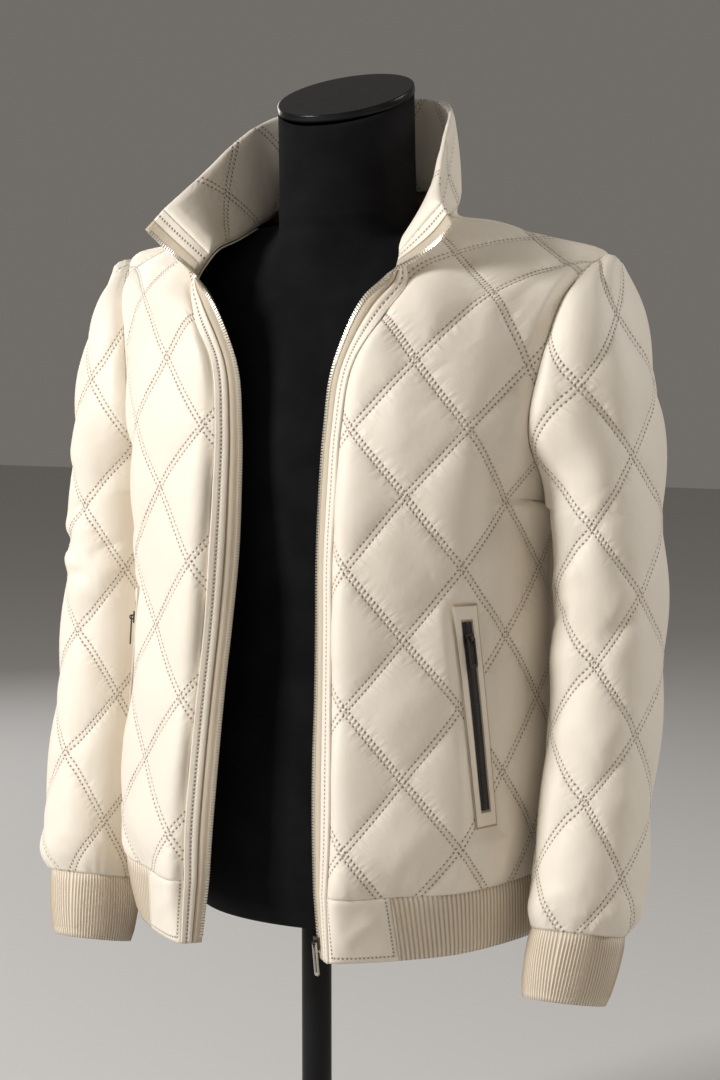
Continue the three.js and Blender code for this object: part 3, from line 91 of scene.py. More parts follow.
# %% Shader class
class Value:
    def __init__(self, tree, socket):
        self.tree = tree
        self.socket = socket

    def math(self, operation, *others):
        node = self.tree.nodes.new("ShaderNodeMath")
        node.operation = operation
        for place, item in enumerate((self, *others)):
            if isinstance(item, Value):
                self.tree.links.new(item.socket, node.inputs[place])
            else:
                node.inputs[place].default_value = item
        return Value(self.tree, node.outputs[0])

    def number(self, value):
        return self.math("MULTIPLY", 0.0).math("ADD", value)

    def __add__(self, other):
        return self.math("ADD", other)

    __radd__ = __add__

    def __mul__(self, other):
        return self.math("MULTIPLY", other)

    __rmul__ = __mul__

    def __sub__(self, other):
        return self.math("SUBTRACT", other)

    def __rsub__(self, other):
        return (self * -1.0) + other

    def __truediv__(self, other):
        return self.math("DIVIDE", other)

    def __pow__(self, other):
        return self.math("POWER", other)

    def ramp(self, low, high):
        """0 below low and 1 above high, smooth between."""
        node = self.tree.nodes.new("ShaderNodeMapRange")
        node.interpolation_type = "SMOOTHSTEP"
        self.tree.links.new(self.socket, node.inputs["Value"])
        node.inputs["From Min"].default_value = low
        node.inputs["From Max"].default_value = high
        return Value(self.tree, node.outputs["Result"])


class Finish:
    """A material with one Principled shader, and the ways to add nodes to it."""

    def __init__(self, name, color, roughness=0.5, metallic=0.0, **constants):
        self.material = bpy.data.materials.new(name)
        self.material.use_nodes = True
        self.tree = self.material.node_tree
        self.shader = self.tree.nodes["Principled BSDF"]
        self.shader.inputs["Base Color"].default_value = (*color, 1)
        self.shader.inputs["Roughness"].default_value = roughness
        self.shader.inputs["Metallic"].default_value = metallic
        for socket, value in constants.items():
            self.shader.inputs[socket.replace("_", " ")].default_value = value
        self.material.diffuse_color = (*color, 1)

    def add(self, kind, settings=None, **sockets):
        node = self.tree.nodes.new(kind)
        for key, value in (settings or {}).items():
            setattr(node, key, value)
        for key, value in sockets.items():
            socket = node.inputs[int(key[1:])] if key[0] == "i" and key[1:].isdigit() else node.inputs[key.replace("_", " ")]
            if isinstance(value, Value):
                self.tree.links.new(value.socket, socket)
            else:
                socket.default_value = value
        return node

    def flat(self):
        """The cloth's flat coordinates, across and up, in millimetres."""
        uv = self.add("ShaderNodeUVMap", {"uv_map": "flat"})
        parts = self.add("ShaderNodeSeparateXYZ", Vector=Value(self.tree, uv.outputs[0]))
        return Value(self.tree, parts.outputs[0]) * 100.0, Value(self.tree, parts.outputs[1]) * 100.0

    def place(self):
        return Value(self.tree, self.add("ShaderNodeTexCoord").outputs["Object"])

    def join(self, x, y, z=0.0):
        return Value(self.tree, self.add("ShaderNodeCombineXYZ", X=x, Y=y, Z=z).outputs[0])

    def noise(self, vector, scale, detail=2.0, roughness=0.5):
        node = self.add("ShaderNodeTexNoise", Vector=vector, Scale=scale, Detail=detail, Roughness=roughness)
        return Value(self.tree, node.outputs[0])

    def cells(self, vector, scale):
        node = self.add("ShaderNodeTexVoronoi", {"feature": "DISTANCE_TO_EDGE"}, Vector=vector, Scale=scale)
        return Value(self.tree, node.outputs["Distance"])

    def blend(self, share, first, second):
        node = self.add("ShaderNodeMix", {"data_type": "RGBA"})
        for place, item in ((0, share), (6, first), (7, second)):
            if isinstance(item, Value):
                self.tree.links.new(item.socket, node.inputs[place])
            else:
                node.inputs[place].default_value = item if place == 0 else (*item, 1)
        return Value(self.tree, node.outputs[2])

    def paint(self, color=None, roughness=None, height=None, depth=0.001, strength=1.0):
        if color is not None:
            self.tree.links.new(color.socket, self.shader.inputs["Base Color"])
        if roughness is not None:
            self.tree.links.new(roughness.socket, self.shader.inputs["Roughness"])
        if height is not None:
            bump = self.add("ShaderNodeBump", Height=height, Distance=depth, Strength=strength)
            self.tree.links.new(bump.outputs[0], self.shader.inputs["Normal"])
        return self


# %% [markdown]
# ## Leather
# Smooth sheep leather has a fine grain and a soft sheen. The quilting is sewn through it in double rows, so the
# thread, the needle holes and the small puckers beside them are drawn from the flat coordinates of each piece. The
# holes, the stitch troughs and the creases are darkened with painted shade.

# %% Sizes of the quilting
HALF_WIDTH, HALF_HEIGHT = 48.0, 57.0  # half a diamond, in millimetres
FIRST_CROSSING = 38.0
LINE_STEEPNESS = math.hypot(1 / HALF_WIDTH, 1 / HALF_HEIGHT)
ROW_OFFSET = 2.3  # from a quilting line to each of its two rows of stitches
STITCH = 4.0
IVORY, IVORY_SHADE = (0.86, 0.795, 0.695), (0.80, 0.72, 0.60)
# The second and third colours are painted shade: the dark brown put in the needle holes and along the crease lines.
THREAD, HOLE_SHADE, CREASE_SHADE = (0.90, 0.85, 0.77), (0.20, 0.115, 0.06), (0.36, 0.25, 0.15)


# %% Stitch pattern
def stitch_row(finish, off, along, pitch=STITCH):
    """Masks of the thread and of the slits that it sinks into, for a row at distance 0 of off."""
    place = ((along / pitch).math("FRACT") - 0.5).math("ABSOLUTE") * pitch
    near = off.math("ABSOLUTE")
    thread = near.ramp(1.1, 0.5) * place.ramp(0.85, 1.3)
    hole = near.ramp(0.8, 0.35) * place.ramp(0.95, 0.45)
    return thread, hole


def quilt_family(finish, across, up, sign):
    """The distance to the nearest quilting line of one direction, and the place along it, in millimetres."""
    number = up / HALF_HEIGHT + across * (sign / HALF_WIDTH)
    half = number * 0.5
    nearest = half.math("ROUND")
    off = (half - nearest) * (2 / LINE_STEEPNESS)
    along = (across * (1 / HALF_HEIGHT) - up * (sign / HALF_WIDTH)) / LINE_STEEPNESS
    return off, along


def leather(name, quilted, stitches=(), lines=(), shift=0.0):
    """stitches are rows as (axis, value, from, to), lines are plain creases at these places across, dented and darkened
    with painted shade.
    """
    finish = Finish(name, IVORY, 0.5, Sheen_Weight=0.08, Sheen_Roughness=0.4, Specular_IOR_Level=0.42)
    across, up = finish.flat()
    up = up + shift
    flat = finish.join(across, up)
    place = finish.place()
    tone = finish.noise(place, 9.0, 3.0).ramp(0.3, 0.7)
    color = finish.blend(tone * 0.35, IVORY, IVORY_SHADE)
    grain = finish.cells(flat, 1.35).ramp(0.0, 0.16) * 0.04 + finish.noise(flat, 0.8, 3.0) * 0.11
    height = grain + finish.noise(flat, 0.03, 3.0, 0.5) * 2.2
    threads, holes, shade = None, None, None
    if quilted:
        for sign in (1, -1):
            off, along = quilt_family(finish, across, up, sign)
            far = off.math("ABSOLUTE")
            for side in (1, -1):
                thread, hole = stitch_row(finish, off - side * ROW_OFFSET, along + side * 1.1)
                threads = thread if threads is None else threads.math("MAXIMUM", thread)
                holes = hole if holes is None else holes.math("MAXIMUM", hole)
            trough = (far - ROW_OFFSET).math("ABSOLUTE").ramp(1.5, 0.0)
            pucker = finish.noise(finish.join(along * 0.21, off * 0.04, 3.0 * sign), 1.0, 1.5)
            strength = (far - ROW_OFFSET).ramp(14.0, 0.5) * (far - ROW_OFFSET).ramp(-0.5, 1.0)
            rung = (along * (2 * math.pi / STITCH)).math("COSINE") * far.ramp(2.6, 1.6) * (1.0 if sign > 0 else 0.2)
            height = height - trough * 0.7 + (pucker - 0.5) * strength * 1.7 + rung * 0.4
            rung_shade = rung.ramp(0.1, -0.9) * (0.5 if sign > 0 else 0.12)
            shade = trough if shade is None else shade.math("MAXIMUM", trough)
            shade = shade.math("MAXIMUM", rung_shade)
    for axis, value, low, high in stitches:
        off, along = (across - value, up) if axis == "across" else (up - value, across)
        inside = along.ramp(low - 0.5, low) * along.ramp(high + 0.5, high)
        thread, hole = stitch_row(finish, off, along, 3.4)
        thread, hole = thread * inside, hole * inside
        trough = off.math("ABSOLUTE").ramp(1.6, 0.0) * inside
        height = height - trough * 0.5
        shade = trough if shade is None else shade.math("MAXIMUM", trough)
        threads = thread if threads is None else threads.math("MAXIMUM", thread)
        holes = hole if holes is None else holes.math("MAXIMUM", hole)
    for value in lines:
        line = (across - value).math("ABSOLUTE").ramp(0.6, 0.2)
        # Painted shade: each crease gets a dark line as well as a dent.
        color = finish.blend(line * 0.85, color, CREASE_SHADE)
        height = height - line * 0.7
    rough = finish.noise(flat, 0.09, 2.0) * 0.14 + 0.44
    if threads is not None:
        # Painted shade: the stitch troughs and the dips between the stitches are darkened.
        color = finish.blend(shade * 0.3, color, (0.50, 0.37, 0.24))
        color = finish.blend(threads * 0.6, color, THREAD)
        # Painted shade: the needle holes are coloured dark brown.
        color = finish.blend(holes * 0.78, color, HOLE_SHADE)
        height = height + threads * 0.5 - holes * 0.8
    return finish.paint(color, rough, height, depth=0.001, strength=0.75).material


quilted_leather = leather("quilted_leather", True)
print("quilted leather with", len(quilted_leather.node_tree.nodes), "nodes")


# %% [markdown]
# ## The other finishes
# Knit ribs, woven tape, jersey, metal and gloss paint each get their own small pattern.

# %% Knit, tape and lining
def rib_finish():
    finish = Finish("rib_knit", (0.74, 0.66, 0.54), 0.85, Sheen_Weight=0.2, Sheen_Roughness=0.5)
    across, up = finish.flat()
    wale = (across * (2 * math.pi / 2.9)).math("COSINE") * 0.5 + 0.5
    loops = ((up * 1.1 + wale * 0.35).math("FRACT") - 0.5).math("ABSOLUTE") * 2.0
    fuzz = finish.noise(finish.join(across, up), 1.6, 2.0)
    # Painted shade: the knit is darker between the wales and where the loops meet.
    color = finish.blend(wale.ramp(0.0, 0.75), (0.46, 0.36, 0.25), (0.84, 0.77, 0.66))
    color = finish.blend(loops * 0.15, color, (0.44, 0.34, 0.24))
    return finish.paint(color, None, loops * 0.3 + fuzz * 0.3 + wale * 0.4, 0.0006, 0.7).material


def woven_finish(name, color, dark, pitch=0.9):
    finish = Finish(name, color, 0.85, Sheen_Weight=0.1)
    across, up = finish.flat()
    over = (across * (2 * math.pi / pitch)).math("SINE") * (up * (2 * math.pi / pitch)).math("SINE")
    # Painted shade: the low crossings of the weave are darkened.
    mixed = finish.blend(over.ramp(-0.6, 0.6), dark, color)
    return finish.paint(mixed, None, over, 0.0003, 0.6).material


rib_knit = rib_finish()
tape_cloth = woven_finish("zip_tape", (0.74, 0.66, 0.54), (0.60, 0.50, 0.37))
brown_lining = woven_finish("brown_lining", (0.16, 0.075, 0.045), (0.09, 0.04, 0.025), 1.4)
print("knit and woven finishes ready")


# %% Metal, jersey and gloss
def metal_finish(name, color, roughness):
    finish = Finish(name, color, roughness, 1.0)
    scuff = finish.noise(finish.place(), 700.0, 2.0)
    tone = finish.blend(scuff.ramp(0.35, 0.7) * 0.5, color, tuple(c * 0.7 for c in color))
    return finish.paint(tone, scuff * 0.2 + (roughness - 0.08), scuff, 0.00005, 0.3).material


def jersey_finish():
    finish = Finish("form_jersey", (0.005, 0.005, 0.006), 0.95, Specular_IOR_Level=0.12, Sheen_Weight=0.02)
    across, up = finish.flat()
    wale = (across * (2 * math.pi / 1.6)).math("SINE") * (up * (2 * math.pi / 1.2)).math("SINE")
    soft = finish.noise(finish.place(), 25.0, 3.0)
    color = finish.blend(soft.ramp(0.3, 0.8) * 0.6, (0.004, 0.004, 0.005), (0.011, 0.011, 0.012))
    return finish.paint(color, None, wale * 0.3 + soft, 0.0004, 0.4).material


def painted_finish(name, roughness, coat):
    finish = Finish(name, (0.004, 0.004, 0.005), roughness, Specular_IOR_Level=0.2, Coat_Weight=coat,
                    Coat_Roughness=0.12)
    orange_peel = finish.noise(finish.place(), 180.0, 2.0)
    return finish.paint(None, orange_peel * 0.12 + (roughness - 0.06), orange_peel, 0.0001, 0.15).material


steel = metal_finish("pull_steel", (0.62, 0.60, 0.56), 0.28)
dark_metal = metal_finish("slider_dark", (0.10, 0.09, 0.085), 0.38)
tooth_metal = metal_finish("tooth_metal", (0.86, 0.81, 0.72), 0.38)
jersey = jersey_finish()
gloss = painted_finish("cap_gloss", 0.3, 0.12)
stand_paint = painted_finish("stand_paint", 0.42, 0.1)
print("hard finishes ready")

# %% [markdown]
# ## Reading the cut
# The pattern is a short table for each piece. A row is a height above the hem seam, and its columns are places
# across the piece in the wearer's left half, in millimetres. Between the rows a smooth curve is read.

# %% Tables of the fronts
UNDERARM, FRONT_TOP, BACK_TOP = 323.0, 622.25, 606.0
FRONT_COLUMNS = ("zip", "edge", "fold", "chest", "corner", "side")
FRONT = (
    (0, (50, -163, 358), (67, -175, 358), (77, -181, 358), (119, -149, 358), (161, -112, 358), (185, 10, 358)),
    (37, (48, -161, 395), (68, -172, 395), (80, -175, 395), (123, -151, 395), (164, -113, 395), (188, 10, 395)),
    (99, (45, -155, 457), (66, -165, 457), (77, -168, 457), (121, -145, 457), (161, -109, 457), (188, 10, 457)),
    (157, (43, -147, 515), (63, -158, 515), (74, -161, 515), (119, -139, 515), (157, -106, 515), (188, 10, 515)),
    (214, (40, -139, 571), (60, -151, 571), (71, -156, 571), (116, -133, 571), (154, -103, 571), (187, 10, 571)),
    (273, (37, -132, 631), (58, -146, 631), (70, -152, 631), (115, -130, 631), (155, -100, 631), (186, 10, 625)),
    (323, (37, -127, 683), (58, -139, 683), (70, -144, 683), (115, -128, 683), (158, -98, 681), (187, 12, 669)),
    (380, (39, -122, 737), (59, -132, 737), (71, -135, 737), (115, -121, 737), (158, -95, 737), (190, -49, 729)),
    (435, (46, -118, 790), (66, -124, 789), (79, -125, 789), (116, -112, 791), (158, -88, 791), (198, -47, 785)),
    (489, (73, -115, 846), (89, -111, 831), (98, -109, 836), (124, -97, 842), (159, -76, 844), (211, -28, 843)),
    (512, (86, -111, 858), (100, -95, 855), (109, -92, 856), (127, -85, 858), (162, -64, 857), (216, -16, 856)),
    (536.75, (97, -105, 867), (90, -85, 880), (99, -80, 878), (128, -70, 873), (166, -49, 869), (220, -5, 866)),
    (582, (97, -105, 867), (88, -35, 898), (95, -34, 896), (126, -27, 894), (170, -14, 885), (228, 10, 875)),
    (622.25, (97, -105, 867), (88, 16, 914), (95, 15, 912), (126, 12, 906), (174, 14, 897), (232, 21, 880.5)),
)
print("fronts:", len(FRONT), "rows")

# %% Tables of the back, collar, hem and sleeves
BACK_COLUMNS = ("arm", "blade", "mid", "spine")
BACK = (
    (0, (185, 10, 358), (147, 56, 358), (82, 80, 358), (0, 84, 358)),
    (37, (188, 10, 395), (150, 64, 395), (82, 88, 395), (0, 91, 395)),
    (99, (188, 10, 457), (152, 66, 457), (82, 88, 457), (0, 91, 457)),
    (157, (188, 10, 515), (152, 66, 515), (82, 88, 515), (0, 90, 515)),
    (214, (187, 10, 571), (152, 67, 571), (82, 90, 571), (0, 92, 571)),
    (273, (186, 10, 625), (152, 73, 630), (82, 95, 631), (0, 97, 631)),
    (323, (187, 12, 669), (152, 85, 680), (82, 103, 683), (0, 104, 683)),
    (380, (201, 70, 731), (150, 98, 735), (82, 111, 737), (0, 111, 737)),
    (435, (206, 75, 785), (154, 103, 789), (82, 115, 790), (0, 116, 790)),
    (489, (215, 65, 839), (154, 98, 841), (82, 111, 843), (0, 114, 843)),
    (530, (223, 50, 863), (158, 84, 873), (83, 100, 883), (0, 106, 882)),
    (568, (229, 35, 875), (167, 54, 890), (98, 72, 905), (0, 97, 912)),
    (606, (232, 21, 880.5), (170, 14, 898), (88, 16, 914), (0, 85, 940)),
)
COLLAR_BACK_COLUMNS = ("seam", "top")
COLLAR_BACK = (
    (0, (88, 16, 914), (96, 0, 992)),
    (0.3, (86, 44, 925), (84, 32, 1006)),
    (0.5, (73, 65, 933), (68, 57, 1014)),
    (0.75, (40, 81, 938), (38, 81, 1020)),
    (1, (0, 85, 940), (0, 89, 1022)),
)
COLLAR_FRONT = (
    (0, (131, -92, 919)), (0.25, (122, -76, 934)), (0.5, (112, -50, 955)), (0.75, (104, -25, 975)),
    (1, (96, 0, 992)),
)
COLLAR_ZIP = ((0, (97, -105, 867)), (0.35, (113, -98, 876)), (0.7, (130, -96, 888)), (1, (144, -101, 902)))
BAND_BOTTOM = (
    (56, -165, 304), (70, -176, 304), (79, -173, 304), (117, -144, 304), (157, -97, 304), (183, 10, 304),
    (146, 55, 304), (80, 76, 304), (0, 80, 304),
)
SLEEVE_COLUMNS = ("x", "y", "half_x", "half_y", "lean")
SLEEVE = (
    (318, 236, -46, 37, 40, 14), (330, 238, -43, 42, 47, 14), (360, 240, -36, 43, 50, 13),
    (420, 241, -21, 42.5, 51, 11), (480, 241.5, -7, 42.5, 52, 7), (540, 241, 5, 42.5, 55, 4),
    (600, 239.5, 12, 41.5, 59, 2), (669, 236, 16, 40, 62, 0), (720, 232, 18, 41, 64, 0),
    (780, 227, 19, 39, 62, 0), (840, 224, 21, 27, 47, 0), (868, 224, 23, 18, 27, 0),
)
print("back:", len(BACK), "rows, sleeve:", len(SLEEVE), "rings")


# %% Smooth readers
def track(keys, places):
    """A smooth function of the keys through the places."""
    keys = np.array(keys, float)
    places = np.array(places, float)
    steps = np.diff(keys)[:, None]
    slopes = np.diff(places, axis=0) / steps
    tangents = np.vstack([slopes[:1], (slopes[:-1] * steps[1:] + slopes[1:] * steps[:-1]) / (steps[1:] + steps[:-1]),
                          slopes[-1:]])

    def read(value):
        value = np.atleast_1d(np.asarray(value, float))
        i = np.clip(np.searchsorted(keys, value, "left") - 1, 0, len(keys) - 2)
        span = (keys[i + 1] - keys[i])[:, None]
        t = np.clip((value[:, None] - keys[i][:, None]) / span, 0, 1)
        s = 1 - t
        return (places[i] * s * s * (1 + 2 * t) + tangents[i] * span * t * s * s
                + places[i + 1] * t * t * (3 - 2 * t) - tangents[i + 1] * span * t * t * s)

    return read


def tracks(table, names):
    keys = [row[0] for row in table]
    return {name: track(keys, [row[k + 1] for row in table]) for k, name in enumerate(names)}


front = tracks(FRONT, FRONT_COLUMNS)
back = tracks(BACK, BACK_COLUMNS)
neck = tracks(COLLAR_BACK, COLLAR_BACK_COLUMNS)
collar_top_front = track([row[0] for row in COLLAR_FRONT], [row[1] for row in COLLAR_FRONT])
collar_zip = track([row[0] for row in COLLAR_ZIP], [row[1] for row in COLLAR_ZIP])
sleeve = {name: track([row[0] for row in SLEEVE], [[row[k + 1]] for row in SLEEVE])
          for k, name in enumerate(SLEEVE_COLUMNS)}


def smooth_line(places, first, last, fine=20):
    """Close points on the smooth curve through the places, from one of them to another."""
    p = np.array(places, float)
    p = np.vstack([2 * p[0] - p[1], p, 2 * p[-1] - p[-2]])
    points = []
    t = np.linspace(0, 1, fine + 1)[:, None]
    for k in range(first, last):
        a, b, c, d = p[k:k + 4]
        d0, d1, d2 = (max(np.linalg.norm(q - r), 1e-6) ** 0.5 for q, r in ((b, a), (c, b), (d, c)))
        m1 = ((b - a) / d0 - (c - a) / (d0 + d1) + (c - b) / d1) * d1
        m2 = ((c - b) / d1 - (d - b) / (d1 + d2) + (d - c) / d2) * d1
        curve = b + m1 * t + (-3 * b + 3 * c - 2 * m1 - m2) * t ** 2 + (2 * b - 2 * c + m1 + m2) * t ** 3
        points.append(curve if k == last - 1 else curve[:-1])
    return np.vstack(points)


def lengths(points):
    return np.concatenate([[0], np.cumsum(np.linalg.norm(np.diff(points, axis=0), axis=1))])


def along_line(points, distances):
    sums = lengths(points)
    return np.stack([np.interp(distances, sums, points[:, k]) for k in range(3)], axis=1)


MIRROR = np.array([-1.0, 1.0, 1.0])


# %% Rows across the panels
def front_row(height):
    """A row of the wearer's left front: close points, and the flat places of its two ends."""
    places = [front[name](height)[0] for name in FRONT_COLUMNS[1:]]
    if height <= UNDERARM:
        places += [back["blade"](height)[0], back["mid"](height)[0]]
    line = smooth_line(places, 0, 4)
    chest = lengths(smooth_line(places, 0, 2))[-1]
    return line, HALF_WIDTH - chest, HALF_WIDTH - chest + lengths(line)[-1]


def back_height(height):
    if height <= UNDERARM:
        return height
    return UNDERARM + (height - UNDERARM) * (BACK_TOP - UNDERARM) / (FRONT_TOP - UNDERARM)


def back_row(height):
    """The left half of a row of the back, from the spine to the side."""
    places = [back["mid"](height)[0] * MIRROR] + [back[name](height)[0] for name in ("spine", "mid", "blade", "arm")]
    if height <= UNDERARM:
        places += [front["corner"](height)[0], front["chest"](height)[0]]
    return smooth_line(places, 1, 4)


def neck_and_shoulder():
    """The back's upper edge from the shoulder tip to the centre back."""
    shoulder = front_row(FRONT_TOP)[0][::-1]
    return np.vstack([shoulder, neck["seam"](np.linspace(0, 1, 33)[1:])])


print("shoulder seam", round(lengths(front_row(FRONT_TOP)[0])[-1]), "mm")

# %% [markdown]
# ## Shells
# A sheet of cloth starts as a flat grid that is given a thickness. Each of its points knows its place across and
# up the cut, so the flat shell is then laid on the body: the outer face with its puffs, the inner face plain.

# %% Shell builder
def normals_of(base):
    """Unit normals of a grid of places, rows up and columns across."""
    across = np.gradient(base, axis=1)
    up = np.gradient(base, axis=0)
    normal = np.cross(across, up)
    size = np.linalg.norm(normal, axis=2, keepdims=True)
    return normal / np.maximum(size, 1e-9)


def shell(name, base, flat, lift, wall, material, ring=False, mirror=False, normal=None, inner=None):
    """base, flat and lift are grids, rows up and columns across, in millimetres. inner is a second material."""
    rows, columns = base.shape[:2]
    if normal is None:
        normal = normals_of(base)
        if ring:
            seam = normal[:, 0] + normal[:, -1]
            seam /= np.maximum(np.linalg.norm(seam, axis=1, keepdims=True), 1e-9)
            normal[:, 0] = normal[:, -1] = seam
    bm = bmesh.new()
    bmesh.ops.create_grid(bm, x_segments=columns - 1, y_segments=rows - 1, size=0.5)
    bmesh.ops.solidify(bm, geom=bm.faces[:], thickness=0.001)
    if ring:
        ends = [f for f in bm.faces if all(abs(abs(v.co.x) - 0.5) < 1e-4 for v in f.verts)]
        bmesh.ops.delete(bm, geom=ends, context="FACES_ONLY")
    mesh = bpy.data.meshes.new(name)
    bm.to_mesh(mesh)
    bm.free()
    count = len(mesh.vertices)
    co = np.empty(count * 3)
    mesh.vertices.foreach_get("co", co)
    co = co.reshape(-1, 3)
    i = np.rint((co[:, 0] + 0.5) * (columns - 1)).astype(int)
    j = np.rint((co[:, 1] + 0.5) * (rows - 1)).astype(int)
    outer = co[:, 2] > (co[:, 2].max() + co[:, 2].min()) / 2
    off = np.where(outer, np.broadcast_to(lift, (rows, columns))[j, i], -np.broadcast_to(wall, (rows, columns))[j, i])
    place = (base[j, i] + normal[j, i] * off[:, None]) / 1000 + NECK_AXIS
    if mirror:
        place = place * MIRROR
    mesh.vertices.foreach_set("co", place.ravel())
    corner = np.empty(len(mesh.loops), dtype=np.int32)
    mesh.loops.foreach_get("vertex_index", corner)
    uv = mesh.uv_layers.new(name="flat")
    uv.data.foreach_set("uv", (flat[j, i][corner] / 100).astype(np.float32).ravel())
    mesh.materials.append(material)
    if inner is not None:
        mesh.materials.append(inner)
        faces = np.empty(len(mesh.polygons), dtype=np.int32)
        mesh.polygons.foreach_get("loop_start", faces)
        inside = ~outer[corner[faces]] & ~outer[corner[faces + 1]] & ~outer[corner[faces + 2]]
        mesh.polygons.foreach_set("material_index", inside.astype(np.int32))
    bm = bmesh.new()
    bm.from_mesh(mesh)
    bmesh.ops.remove_doubles(bm, verts=bm.verts[:], dist=0.00002)
    if mirror:
        bmesh.ops.reverse_faces(bm, faces=bm.faces[:])
    bm.to_mesh(mesh)
    bm.free()
    mesh.shade_smooth()
    piece = bpy.data.objects.new(name, mesh)
    bpy.context.collection.objects.link(piece)
    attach(piece, "jacket")
    print(name, len(mesh.polygons), "faces")
    return piece


def grid(rows, columns):
    """Shares up and across a grid."""
    return np.meshgrid(np.linspace(0, 1, rows), np.linspace(0, 1, columns), indexing="ij")


# %% [markdown]
# ## Puffs and folds
# Padding swells between the quilting lines. A narrow welt stands up between each pair of stitch rows. Folds are
# listed as soft troughs and ridges, each from one flat place to another.

# %% Puffs and folds
def line_distance(number):
    return np.abs(number - 2 * np.round(number / 2)) / LINE_STEEPNESS


def quilting(across, up, puff=4.7):
    first = line_distance(up / HALF_HEIGHT + across / HALF_WIDTH)
    second = line_distance(up / HALF_HEIGHT - across / HALF_WIDTH)
    swell = 1.0
    for distance in (first, second):
        share = np.clip((distance - 2.4) / (1 / LINE_STEEPNESS - 2.4), 0, 1)
        swell = swell * np.sin(share * math.pi / 2)
    welt = np.maximum(np.exp(-(first / 1.7) ** 2), np.exp(-(second / 1.7) ** 2))
    return puff * swell ** 0.55 + 0.7 * welt


def gathers(across, up):
    """Small puckers where the ribbed knit pulls the cloth in."""
    wave = np.sin(across / 2.6 + 2 * np.sin(across / 9.0)) + 0.5 * np.sin(across / 5.3 + 1)
    return 0.55 * wave * np.exp(-np.maximum(up, 0) / 9.0) * np.clip(up / 3.0, 0, 1)


def folds(across, up, table):
    """table: across and up of both ends, half width, height; below 0 is a trough."""
    total = np.zeros_like(across)
    for x0, y0, x1, y1, width, height in table:
        along = np.array([x1 - x0, y1 - y0], float)
        length = np.linalg.norm(along)
        along /= length
        s = (across - x0) * along[0] + (up - y0) * along[1]
        bend = 0.06 * length * np.sin(np.clip(s / length, 0, 1) * math.pi)
        d = (across - x0) * -along[1] + (up - y0) * along[0] - bend
        taper = np.clip(s / length, 0, 1) * np.clip(1 - s / length, 0, 1) * 4
        total += height * np.exp(-(d / width) ** 2) * np.sqrt(taper)
    return total


def inner_wall(lift, wall=1.2, least=1.1):
    """The inner face follows a trough that is deeper than the wall."""
    return np.maximum(wall, least - lift)


def unevenness(base, size=1.0):
    """Slow hills that keep the padding from looking machine-made."""
    x, y, z = base[..., 0], base[..., 1], base[..., 2]
    return size * (np.sin(x / 31 + z / 47) * np.sin(z / 37 - y / 29) + 0.5 * np.sin(x / 17 + y / 13 - z / 23))


# %% [markdown]
# ## Fronts
# Each front is one padded panel from the zip to the side seam and armhole. Only one needs to be worked out: the
# other is its mirror, with its own folds.

# %% Front grid
FRONT_ROWS, FRONT_COLUMNS_COUNT = 280, 90
heights = np.linspace(0, FRONT_TOP, FRONT_ROWS)
front_base = np.zeros((FRONT_ROWS, FRONT_COLUMNS_COUNT, 3))
front_flat = np.zeros((FRONT_ROWS, FRONT_COLUMNS_COUNT, 2))
for r, height in enumerate(heights):
    line, left, right = front_row(height)
    share = np.linspace(0, 1, FRONT_COLUMNS_COUNT)
    front_base[r] = along_line(line, share * (right - left))
    front_flat[r, :, 0] = left + share * (right - left)
    front_flat[r, :, 1] = height - FIRST_CROSSING
front_normal = normals_of(front_base)


def on_front(across, height):
    """The base place and normal of flat places on the wearer's left front."""
    v = np.clip(np.asarray(height, float) / FRONT_TOP * (FRONT_ROWS - 1), 0, FRONT_ROWS - 1.001)
    r = v.astype(int)
    lefts, rights = front_flat[:, 0, 0], front_flat[:, -1, 0]
    left = lefts[r] + (lefts[r + 1] - lefts[r]) * (v - r)
    right = rights[r] + (rights[r + 1] - rights[r]) * (v - r)
    u = np.clip((np.asarray(across, float) - left) / (right - left) * (FRONT_COLUMNS_COUNT - 1), 0,
                FRONT_COLUMNS_COUNT - 1.001)
    c = u.astype(int)
    a, b = (v - r)[..., None], (u - c)[..., None]

    def mixed(values):
        low = values[r, c] * (1 - b) + values[r, c + 1] * b
        high = values[r + 1, c] * (1 - b) + values[r + 1, c + 1] * b
        return low * (1 - a) + high * a

    return mixed(front_base), mixed(front_normal)


print("front panel", round(float(front_flat[..., 0].max() - front_flat[..., 0].min())), "mm at its widest")

# %% Pocket places
POCKET_LOW, POCKET_HIGH = (125.0, 54.0), (99.0, 240.0)
POCKET_FROM, POCKET_TO = 52.25, 237.5  # heights of the welt's two ends
WELT_HALF, WINDOW_HALF, WELT_END = 12.0, 5.0, 14.25


def pocket_middle(height):
    share = (height - POCKET_FROM) / (POCKET_TO - POCKET_FROM)
    return POCKET_LOW[0] + (POCKET_HIGH[0] - POCKET_LOW[0]) * share


def pocket_flatness(across, height):
    beyond = np.maximum(0, np.maximum(POCKET_FROM - height, height - POCKET_TO)) / 12
    off = np.abs(across - pocket_middle(height)) / WELT_HALF
    away = np.maximum(off, np.where(beyond > 0, 1 + beyond, 0))
    return np.clip((away - 1.05) / 0.9, 0, 1)


